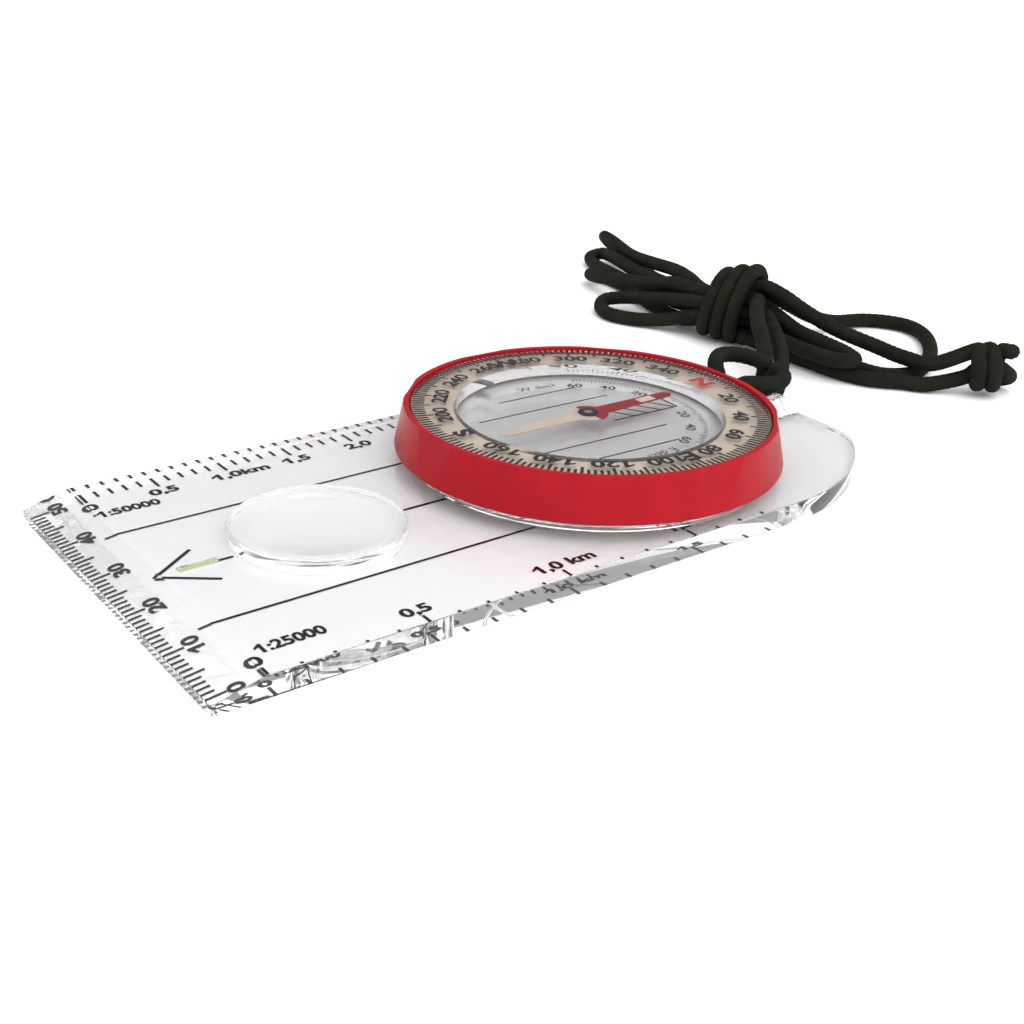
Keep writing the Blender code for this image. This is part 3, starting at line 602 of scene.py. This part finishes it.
def set_render_look():
    """View transform and light paths. Light inside the clear plate needs many bounces to get out."""
    scene = bpy.context.scene
    scene.view_settings.view_transform = "Standard"
    scene.view_settings.look = "None"
    scene.view_settings.exposure = 0.0
    cycles = scene.cycles
    cycles.max_bounces = MAX_BOUNCES
    cycles.transmission_bounces = TRANSMISSION_BOUNCES
    cycles.glossy_bounces = GLOSSY_BOUNCES
    cycles.diffuse_bounces = DIFFUSE_BOUNCES
    cycles.caustics_refractive = True
    cycles.caustics_reflective = True
    cycles.blur_glossy = 0.3
    cycles.sample_clamp_indirect = 6.0
    cycles.use_denoising = True


# ---------------------------------------------------------------- cords

def smooth_path(points, step):
    """Evenly spaced points on a Catmull-Rom curve through the given ones."""
    p = np.array(points, float)
    p = np.vstack([2 * p[0] - p[1], p, 2 * p[-1] - p[-2]])
    fine = []
    for a, b, c, d in zip(p, p[1:], p[2:], p[3:]):
        t = np.linspace(0, 1, 24, endpoint=False)[:, None]
        square, cube = 2 * a - 5 * b + 4 * c - d, 3 * b - a - 3 * c + d
        fine.append(0.5 * (2 * b + (c - a) * t + square * t**2 + cube * t**3))
    fine = np.vstack([*fine, p[-2][None]])
    run = np.concatenate([[0], np.cumsum(np.linalg.norm(np.diff(fine, axis=0), axis=1))])
    count = max(int(round(run[-1] / step)), 2)
    where = np.linspace(0, run[-1], count + 1)
    return np.stack([np.interp(where, run, fine[:, k]) for k in range(3)], axis=1)


def path_frames(path):
    """Two unit vectors across the path at each point, carried along it without twisting."""
    tangents = np.gradient(path, axis=0)
    tangents /= np.linalg.norm(tangents, axis=1)[:, None]
    start = np.cross(tangents[0], (0.0, 0.0, 1.0))
    if np.linalg.norm(start) < 0.1:
        start = np.cross(tangents[0], (1.0, 0.0, 0.0))
    normals = [start / np.linalg.norm(start)]
    for tangent in tangents[1:]:
        carried = normals[-1] - tangent * np.dot(normals[-1], tangent)
        normals.append(carried / np.linalg.norm(carried))
    normals = np.array(normals)
    return normals, np.cross(tangents, normals)


def braid_height(run, turn, strands, lay):
    """Height from 0 to 1 of a braid whose strands pass over and under, at a place along and round it."""
    round_share = strands * turn / (2 * math.pi)
    along_share = run / lay
    one, other = round_share + along_share, round_share - along_share
    over = (np.floor(one) + np.floor(other)) % 2 == 0
    across_one = 1 - (2 * (one % 1) - 1) ** 2
    across_other = 1 - (2 * (other % 1) - 1) ** 2
    upper = across_one * (0.55 + 0.45 * across_other)
    lower = across_other * (0.55 + 0.45 * across_one)
    return np.where(over, upper, lower)


def braided_cord(name, points, material, step=0.3, sides=32, relief=0.13):
    """A round braided cord along the points, as a closed mesh, and its centreline."""
    path = smooth_path(points, step)
    normals, binormals = path_frames(path)
    run = np.arange(len(path)) * step
    turn = np.linspace(0, 2 * math.pi, sides, endpoint=False)
    height = braid_height(run[:, None], turn[None, :], BRAID_STRANDS, BRAID_LAY)
    radius = CORD_RADIUS - relief + relief * height
    ends = np.minimum(np.arange(len(path)), np.arange(len(path))[::-1])
    radius *= np.sqrt(np.clip((ends + 1.0) / 4, 0, 1))[:, None]
    across, upward = np.cos(turn)[None, :, None], np.sin(turn)[None, :, None]
    around = across * normals[:, None, :] + upward * binormals[:, None, :]
    verts = ((path[:, None, :] + radius[:, :, None] * around) * MM).reshape(-1, 3)
    ring = np.arange(sides)
    faces = []
    for i in range(len(path) - 1):
        a, b = i * sides + ring, (i + 1) * sides + ring
        faces += np.stack([a, np.roll(a, -1), np.roll(b, -1), b], axis=1).tolist()
    faces.append(ring[::-1].tolist())
    faces.append((ring + (len(path) - 1) * sides).tolist())
    mesh = mesh_from(name, verts.tolist(), faces)
    mesh.shade_smooth()
    cord = add_piece(name, mesh, material, "plate")
    return cord, smooth_path(points, 1.5) * MM


def wrap_axes():
    foot, head = np.array(WRAP_FOOT), np.array(WRAP_HEAD)
    length = np.linalg.norm(head - foot)
    axis = (head - foot) / length
    near = np.cross((0.0, 0.0, 1.0), axis)
    near /= np.linalg.norm(near)
    return foot, axis, length, near, np.cross(axis, near)


def in_wrap(share, near_by, up_by):
    """A point in the wrap, at a share of its length from the foot."""
    foot, axis, length, near, up = wrap_axes()
    return tuple(foot + axis * length * share + near * near_by + up * up_by)


def through_wrap(foot_slot, head_slot):
    """Three points on a strand's way through the wrap, foot to head."""
    (a, b), (c, d) = FOOT_SLOTS[foot_slot], HEAD_SLOTS[head_slot]
    middle = in_wrap(0.5, (a + c) * 0.45, (b + d) * 0.45)
    return [in_wrap(0.02, a, b), middle, in_wrap(0.98, c, d)]


def wrap_coil():
    """The turns that bind the bundle, from the head back to the foot, each leaning over to the foot."""
    points = []
    steps = 48
    for i in range(steps + 1):
        share = i / steps
        angle = math.radians(WRAP_COIL_START + 360 * WRAP_COIL_TURNS * share)
        place = 0.86 - 0.74 * share - WRAP_COIL_LEAN / WRAP_COIL_LENGTH * math.sin(angle)
        taper = max((place - 0.35) / 0.65, 0.0) ** 1.3
        radius = WRAP_FOOT_RADIUS + (WRAP_HEAD_RADIUS - WRAP_FOOT_RADIUS) * taper - CORD_RADIUS
        points.append(in_wrap(place, radius * math.cos(angle), radius * math.sin(angle)))
    return points


def knot_points(kind):
    """The end knot: one cord coils round the other, and both end in short tails."""
    centre = np.array(END_KNOT_CENTRE)
    axis = np.array((-0.72, -0.69, 0.0))
    axis /= np.linalg.norm(axis)
    side = np.cross((0.0, 0.0, 1.0), axis)
    up = np.array((0.0, 0.0, 1.0))
    if kind == "core":
        shape = (
            (-3.4, 0.4, -2.2), (-1.6, 0.0, -0.5), (1.2, 0.2, 0.0), (3.0, 0.8, -1.0), (4.0, 2.6, -2.2),
            (3.2, 4.4, -3.2), (1.4, 5.0, -3.4),
        )
        return [tuple(centre + axis * a + side * b + up * c) for a, b, c in shape]
    points = []
    for i in range(25):
        share = i / 24
        angle = math.radians(100 + 360 * 1.9 * share)
        radius = END_KNOT_RADIUS
        place = centre + axis * (-2.4 + 4.4 * share)
        points.append(tuple(place + side * radius * math.cos(angle) + up * radius * math.sin(angle)))
    points += [tuple(centre + axis * a + side * b + up * c) for a, b, c in ((3.2, 1.4, 2.4), (4.0, 2.6, 2.4))]
    return points


def make_lanyard(finishes):
    left = [
        *HITCH_LEFT, *through_wrap("tether_left", "middle_out"), *BIGHT_MIDDLE,
        *reversed(through_wrap("turn_out", "middle_back")), *TURN,
        *through_wrap("turn_back", "rear_out"), *BIGHT_REAR,
        *reversed(through_wrap("run_upper", "rear_back")), *RUN_UPPER, *knot_points("coil"),
    ]
    right = [
        *HITCH_RIGHT, *through_wrap("tether_right", "front_out"), *BIGHT_FRONT,
        *reversed(through_wrap("loop_back", "front_back")), *reversed(LOOP),
        *through_wrap("loop_out", "long_out"), *BIGHT_LONG,
        *wrap_coil(), *RUN_LOWER, *knot_points("core"),
    ]
    for name, points, nodes in (
        ("lanyard_cord_left", left, (
            "lanyard_tether", "lanyard_bight_middle", "lanyard_bight_rear", "lanyard_turn",
            "lanyard_run_upper", "lanyard_end_knot")),
        ("lanyard_cord_right", right, (
            "lanyard_wrap", "lanyard_bight_front", "lanyard_bight_long", "lanyard_loop",
            "lanyard_run_lower")),
    ):
        cord, path = braided_cord(name, points, finishes["cord"])
        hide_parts(*nodes)


# ---------------------------------------------------------------- plate

def boolean(piece, other, operation):
    modifier = piece.modifiers.new(operation, "BOOLEAN")
    modifier.operation = operation
    modifier.object = other
    modifier.solver = "EXACT"
    bpy.context.view_layer.update()
    graph = bpy.context.evaluated_depsgraph_get()
    mesh = bpy.data.meshes.new_from_object(piece.evaluated_get(graph))
    piece.modifiers.clear()
    piece.data = mesh
    bpy.data.objects.remove(other)


def loose_object(name, mesh):
    holder = bpy.data.objects.new(name, mesh)
    bpy.context.scene.collection.objects.link(holder)
    return holder


def magnifier_mesh():
    """A disc let through the plate, with a flat rim round a low dome."""
    dome_radius = MAGNIFIER_DOME_RADIUS
    sphere = (dome_radius**2 + MAGNIFIER_DOME**2) / (2 * MAGNIFIER_DOME)
    sphere_z = MAGNIFIER_WALL_TOP_Z + MAGNIFIER_DOME - sphere
    corners = []
    for i in range(33):
        radius = dome_radius * i / 32
        corners.append((radius, sphere_z + math.sqrt(sphere**2 - radius**2), 0))
    corners += [(MAGNIFIER_RADIUS, MAGNIFIER_WALL_TOP_Z, 1), (MAGNIFIER_RADIUS, 0, 0.5), (0, 0, 0)]
    return turned("magnifier", corners, 0.25, 192)


def magnifier_bore_mesh():
    radius = MAGNIFIER_RADIUS + MAGNIFIER_GAP
    mesh = turned("magnifier_bore", [(0, 4, 0), (radius, 4, 0), (radius, -1, 0), (0, -1, 0)], 0.1, 192)
    mesh.transform(Matrix.Translation((0, MAGNIFIER_Y * MM, 0)))
    return mesh


def retainer_mesh():
    base = PLATE_THICKNESS - 0.3
    bore = FLANGE_RADIUS + 0.2
    corners = [
        (RETAINER_RADIUS, RETAINER_TOP_Z, 1), (RETAINER_RADIUS, base, 0), (bore, base, 0),
        (bore, RETAINER_TOP_Z, 0.6),
    ]
    mesh = turned("retainer", corners, 0.3, 256)
    mesh.transform(Matrix.Translation((0, CAPSULE_Y * MM, 0)))
    return mesh


def shade_plate(mesh):
    """Flat faces are shaded flat, so that they stay true mirrors, and the curved ones between them smooth."""
    mesh.shade_smooth()
    mesh.set_sharp_from_angle(angle=math.radians(25))
    drop = PLATE_THICKNESS - FRONT_EDGE_THICKNESS
    front = Vector((0, drop, FRONT_BEVEL_LENGTH)).normalized()
    planes = [Vector((0, 0, 1)), Vector((1, 0, 0)), Vector((0, 1, 0)), front]
    for face in mesh.polygons:
        if any(abs(face.normal.dot(plane)) > 0.99995 for plane in planes):
            face.use_smooth = False


def make_plate(finishes):
    """The clear plate with the capsule's retaining ring, and the lens set into it."""
    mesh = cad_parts["baseplate"].data.copy()
    shape = bmesh.new()
    shape.from_mesh(mesh)
    bmesh.ops.remove_doubles(shape, verts=shape.verts, dist=0.002 * MM)
    bmesh.ops.dissolve_limit(
        shape, angle_limit=math.radians(0.3), use_dissolve_boundaries=False,
        verts=shape.verts, edges=shape.edges,
    )
    sharp = [e for e in shape.edges if len(e.link_faces) == 2 and e.calc_face_angle(0) > math.radians(32)]
    bmesh.ops.bevel(
        shape, geom=sharp, offset=PLATE_EDGE_ROUND * MM, offset_type="OFFSET", segments=3, profile=0.5,
        affect="EDGES", clamp_overlap=True,
    )
    bmesh.ops.triangulate(shape, faces=shape.faces)
    shape.to_mesh(mesh)
    shape.free()
    plate = loose_object("clear_plate", mesh)
    boolean(plate, loose_object("magnifier_bore", magnifier_bore_mesh()), "DIFFERENCE")
    boolean(plate, loose_object("retainer", retainer_mesh()), "UNION")
    mesh = plate.data
    bpy.data.objects.remove(plate)
    shade_plate(mesh)
    plate = add_piece("clear_plate", mesh, finishes["plate"], "plate")
    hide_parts("baseplate", "retaining_ring")
    lens = add_piece(
        "magnifier", magnifier_mesh(), finishes["plate"], "plate",
        Matrix.Translation((0, MAGNIFIER_Y * MM, 0)),
    )
    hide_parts("magnifier_lens")


def make_plate_prints(finishes):
    edge = PLATE_FRONT_Y
    ruler = Layer(PRINT_Z, PRINT_THICKNESS)
    for mark in range(51):
        x = RULER_ZERO_X + mark
        depth = RULER_LONG_TICK_END if mark % 5 == 0 else RULER_SHORT_TICK_END
        ruler.line((x, edge - RULER_TICK_START), (x, edge - depth), 0.34)
    for mark in range(0, 51, 10):
        ruler.text(str(mark), 2.7, (RULER_ZERO_X + mark, edge - RULER_LABEL_BACK), stretch=1.2)
    add_piece("front_scale", ruler.build("front_scale"), finishes["ink"], "plate")

    far = Layer(PRINT_Z, PRINT_THICKNESS)
    for mark in range(34):
        y = edge - SIDE_SCALE_BACK - 2 * mark
        far.line((FAR_TICK_X, y), (FAR_LONG_TICK_X if mark % 5 == 0 else FAR_SHORT_TICK_X, y), 0.42)
    for i, words in enumerate(("0", "0,5", "1,0km", "1,5", "2,0")):
        shift = KM_LABEL_SHIFT if "km" in words else 0
        far.text(words, 2.5, (FAR_LABEL_X, edge - SIDE_SCALE_BACK - 10 * i - shift), -90, stretch=1.35)
    far.text("1:50000", 2.4, (19.2, edge - 7.2), -90, "LEFT", stretch=1.08)
    add_piece("far_scale", far.build("far_scale"), finishes["ink"], "plate")

    near = Layer(PRINT_Z, PRINT_THICKNESS)
    for mark in range(19):
        y = edge - SIDE_SCALE_BACK - 4 * mark
        near.line((NEAR_TICK_X, y), (NEAR_LONG_TICK_X if mark % 5 == 0 else NEAR_SHORT_TICK_X, y), 0.4)
    for i, words in enumerate(("0", "0,5", "1,0 km", "1,5")):
        shift = KM_LABEL_SHIFT if "km" in words else 0
        near.text(words, 2.5, (NEAR_LABEL_X, edge - SIDE_SCALE_BACK - 20 * i - shift), -90, stretch=1.3)
    near.text("1:25000", 2.5, (-20.6, edge - 8.6), -90, "LEFT", stretch=1.04)
    add_piece("near_scale", near.build("near_scale"), finishes["ink"], "plate")

    arrow = Layer(PRINT_Z, PRINT_THICKNESS)
    for side in (-1, 1):
        arrow.line((side * 0.15, edge - 6.6), (side * 4.4, edge - 12.75), 0.5)
    arrow.line((0, edge - 14.4), (0, edge - 16.4), 0.5)
    arrow.line((0, edge - 40.2), (0, edge - 47.6), 0.5)
    add_piece("travel_arrow", arrow.build("travel_arrow"), finishes["ink"], "plate")

    guides = Layer(PRINT_Z, PRINT_THICKNESS)
    for x in (-GUIDE_X, GUIDE_X):
        guides.line((x, edge - 5.9), (x, edge - 52.0), 0.42)
    add_piece("guide_lines", guides.build("guide_lines"), finishes["ink"], "plate")


def make_luminous_strip(finishes):
    strip = Layer(STRIP_BOTTOM_Z, STRIP_THICKNESS)
    outline = []
    for end_y, from_angle in ((STRIP_Y[1] - STRIP_HALF_WIDTH, 0), (STRIP_Y[0] + STRIP_HALF_WIDTH, 180)):
        for i in range(9):
            angle = math.radians(from_angle + 22.5 * i)
            outline.append((STRIP_HALF_WIDTH * math.cos(angle), end_y + STRIP_HALF_WIDTH * math.sin(angle)))
    strip.polygon(outline)
    piece = add_piece(
        "luminous_paint", strip.build("luminous_paint"), finishes["luminous"], "plate"
    )
    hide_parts("luminous_strip")


# ---------------------------------------------------------------- dial

def on_dial():
    return Matrix.Translation((0, CAPSULE_Y * MM, 0)) @ Matrix.Rotation(math.radians(DIAL_TURN), 4, "Z")


def on_needle():
    return Matrix.Translation((0, CAPSULE_Y * MM, 0)) @ Matrix.Rotation(math.radians(NEEDLE_TURN), 4, "Z")


def dial_point(radius, bearing):
    """A point of the dial's own frame at a bearing in degrees, clockwise from north, which is +Y there."""
    turn = math.radians(bearing)
    return (radius * math.sin(turn), radius * math.cos(turn))


def facet_cut(angle, height):
    """How far the grip is cut in: a facet is widest at the ring's top and runs out to nothing at its foot."""
    span = 360.0 / BEZEL_FACET_COUNT
    off_centre = (angle - BEZEL_FACET_PHASE + span / 2) % span - span / 2
    return BEZEL_FACET_DEPTH * max(min(height, 1.0) - (off_centre / BEZEL_FACET_HALF_ANGLE) ** 2, 0.0)


def make_bezel(finishes):
    """The red turning ring, in fine steps so that its eight facets keep crisp edges."""
    slope = (BEZEL_BOTTOM_RADIUS - BEZEL_TOP_RADIUS) / (BEZEL_TOP_Z - BEZEL_BOTTOM_Z)
    corners = [(BEZEL_TOP_RADIUS, BEZEL_TOP_Z, 1)]
    for i in range(1, 24):
        z = BEZEL_TOP_Z - (BEZEL_TOP_Z - BEZEL_BOTTOM_Z) * i / 24
        corners.append((BEZEL_BOTTOM_RADIUS - slope * (z - BEZEL_BOTTOM_Z), z, 0))
    corners += [
        (BEZEL_BOTTOM_RADIUS, BEZEL_BOTTOM_Z, 0.8), (BEZEL_BORE_RADIUS, BEZEL_BOTTOM_Z, 0.5),
        (BEZEL_BORE_RADIUS, LEDGE_Z, 0), (BEZEL_RIM_INNER_RADIUS, LEDGE_Z, 0),
        (BEZEL_RIM_INNER_RADIUS, BEZEL_TOP_Z, 0.6),
    ]
    mesh = turned("bezel", corners, 0.2, 720, angle=25.0)
    grip_from = BEZEL_RIM_INNER_RADIUS + 0.15
    for vertex in mesh.vertices:
        radius = math.hypot(vertex.co.x, vertex.co.y) / MM
        if radius < grip_from:
            continue
        height = (vertex.co.z / MM - BEZEL_BOTTOM_Z) / (BEZEL_TOP_Z - BEZEL_BOTTOM_Z)
        angle = math.degrees(math.atan2(vertex.co.y, vertex.co.x))
        share = (radius - grip_from) / (BEZEL_TOP_RADIUS - grip_from)
        cut = facet_cut(angle, height) * min(share, 1.0)
        vertex.co.x *= 1 - cut / radius
        vertex.co.y *= 1 - cut / radius
    mesh.shade_smooth()
    mesh.set_sharp_from_angle(angle=math.radians(10))
    bezel = add_piece("bezel", mesh, finishes["bezel"], "dial", on_dial())
    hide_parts("bezel_ring")


def make_capsule(finishes):
    """The liquid-filled capsule as one clear body: the liquid bends light as the plastic does."""
    corners = [
        (0, COVER_TOP_Z, 0), (COVER_RADIUS, COVER_TOP_Z, 1), (COVER_RADIUS, COVER_BOTTOM_Z, 0),
        (CAPSULE_WALL_RADIUS, COVER_BOTTOM_Z, 0), (CAPSULE_WALL_RADIUS, FLANGE_TOP_Z, 0.6),
        (SKIRT_RADIUS - SKIRT_WALL, FLANGE_TOP_Z, 0.6), (SKIRT_RADIUS - SKIRT_WALL, SKIRT_TOP_Z, 0.5),
        (SKIRT_RADIUS, SKIRT_TOP_Z, 0.5), (SKIRT_RADIUS, FLANGE_TOP_Z, 0.6),
        (FLANGE_RADIUS, FLANGE_TOP_Z, 0.6), (FLANGE_RADIUS, CAPSULE_BASE_Z, 0.4), (0, CAPSULE_BASE_Z, 0),
    ]
    capsule = add_piece(
        "capsule", turned("capsule", corners, 0.3, 256), finishes["capsule"], "dial",
        on_dial(),
    )
    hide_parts("capsule_cup", "dial_cover", "orienting_disc")

    ring = turned("scale_ring", SCALE_RING_PROFILE, 0.15, 192)
    greige = add_piece("scale_ring", ring, finishes["greige"], "dial", on_dial())
    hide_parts("dial_ring")


def make_dial_scale(finishes):
    scale = Layer(SCALE_Z, DIAL_PRINT_THICKNESS)
    red = Layer(SCALE_Z, DIAL_PRINT_THICKNESS)
    for bearing in range(0, 360, 2):
        inner = DIAL_LONG_TICK_RADIUS if bearing % 10 == 0 else DIAL_SHORT_TICK_RADIUS
        scale.line(dial_point(DIAL_TICK_RADIUS, bearing), dial_point(inner, bearing), 0.4)
    names = {0: "N", 90: "E", 180: "S", 270: "W"}
    for bearing in sorted({*range(0, 360, 20), 90, 270}):
        words = names.get(bearing, str(bearing))
        layer = red if bearing == 0 else scale
        size, bold = (3.5, 0.16) if bearing in names else (2.8, 0.1)
        layer.text(words, size, dial_point(DIAL_LABEL_RADIUS, bearing), -bearing, bold=bold)
    add_piece("dial_scale", scale.build("dial_scale"), finishes["ink"], "dial", on_dial())
    add_piece("dial_north", red.build("dial_north"), finishes["red_ink"], "dial", on_dial())


def make_floor_print(finishes):
    """North-south lines, the gate for the needle and the declination scale, on the capsule's floor."""
    lines = Layer(FLOOR_PRINT_Z, DIAL_PRINT_THICKNESS)
    for side in (-1, 1):
        lines.line((side * 6.6, 8.6), (side * 6.6, -13.6), 0.3)
        lines.line((side * 11.5, 6.6), (side * 11.5, -7.0), 0.3)
        lines.line((side * 1.9, 3.2), (side * 1.9, 14.5), 0.35)
    lines.line((-1.9, 14.5), (1.9, 14.5), 0.35)
    for i in range(4):
        y = 4.4 + 2.4 * i
        lines.line((-1.8, y), (1.8, y + 2.4), 0.35)
    for declination in range(-60, 61, 2):
        inner = DECLINATION_LONG_TICK_RADIUS if declination % 10 == 0 else DECLINATION_SHORT_TICK_RADIUS
        lines.line(dial_point(DECLINATION_TICK_RADIUS, declination), dial_point(inner, declination), 0.14)
    for declination in (20, 40, 60):
        for side in (-1, 1):
            place = dial_point(DECLINATION_LABEL_RADIUS, side * declination)
            lines.text(str(declination), 1.9, place, -side * declination, bold=0.03)
    for words, bearing in (("W decl", -DECLINATION_NAME_BEARING), ("E decl", DECLINATION_NAME_BEARING)):
        place = dial_point(DECLINATION_NAME_RADIUS, bearing)
        lines.text(words, 1.9, place, -bearing, bold=0.0, stretch=1.1)
    add_piece("floor_print", lines.build("floor_print"), finishes["ink"], "dial", on_dial())


# ---------------------------------------------------------------- needle

def needle_half(sign):
    """The outline of one arm with its half of the round hub."""
    root, end, reach = NEEDLE_ROOT_HALF_WIDTH, NEEDLE_END_HALF_WIDTH, NEEDLE_HALF_LENGTH
    shoulder = math.asin(root / NEEDLE_HUB_RADIUS)
    outline = [(NEEDLE_HUB_RADIUS * math.cos(t), NEEDLE_HUB_RADIUS * math.sin(t))
               for t in np.linspace(0, math.pi / 2 - shoulder, 14)]
    outline += [(end, reach - 1.0), (0.0, reach), (-end, reach - 1.0)]
    outline += [(-x, y) for x, y in reversed(outline[:14])]
    if sign < 0:
        outline = [(-x, -y) for x, y in outline]
    return outline


def make_needle(finishes):
    for name, sign, finish in (("needle_north", 1, "needle_red"), ("needle_south", -1, "needle_cream")):
        arm = Layer(NEEDLE_BOTTOM_Z, NEEDLE_TOP_Z - NEEDLE_BOTTOM_Z)
        arm.polygon(needle_half(sign))
        mesh = arm.build(name)
        shape = bmesh.new()
        shape.from_mesh(mesh)
        level = [e for e in shape.edges if abs((e.verts[0].co - e.verts[1].co).z) < 1e-6]
        rim = [e for e in level if e.calc_face_angle(0) > 1.2]
        bmesh.ops.bevel(shape, geom=rim, offset=0.06 * MM, segments=2, profile=0.5, affect="EDGES")
        shape.to_mesh(mesh)
        shape.free()
        piece = add_piece(name, mesh, finishes[finish], "needle", on_needle())
        if sign > 0:
            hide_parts("needle")
    patch = Layer(NEEDLE_TOP_Z - 0.01, 0.04)
    patch.polygon(NEEDLE_PATCH)
    mesh = patch.build("needle_patch")
    add_piece("needle_patch", mesh, finishes["needle_pale"], "needle", on_needle())
    mesh = turned("hub_cap", HUB_PROFILE, 0.12, 96)
    hub = add_piece("hub_cap", mesh, finishes["black"], "needle", on_needle())
    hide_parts("needle_hub", "jewel_bearing")
    mesh = turned("hub_top", HUB_TOP_PROFILE, 0.1, 64)
    top = add_piece("hub_top", mesh, finishes["grey"], "needle", on_needle())
    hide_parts("bearing_plug")


def finish_cad_nodes(finishes):
    """The small CAD solids that stay as they are."""
    for name, finish in (("filling_plug", "grey"), ("pivot_pin", "steel")):
        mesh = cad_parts[name].data
        mesh.materials.clear()
        mesh.materials.append(finishes[finish])


def main():
    set_render_look()
    make_camera()
    make_world()
    make_light("key", KEY_PLACE, KEY_TARGET, KEY_SIZE, KEY_POWER)
    make_floor()
    finishes = make_finishes()
    make_lanyard(finishes)
    make_plate(finishes)
    make_plate_prints(finishes)
    make_luminous_strip(finishes)
    make_bezel(finishes)
    make_capsule(finishes)
    make_dial_scale(finishes)
    make_floor_print(finishes)
    make_needle(finishes)
    finish_cad_nodes(finishes)


main()
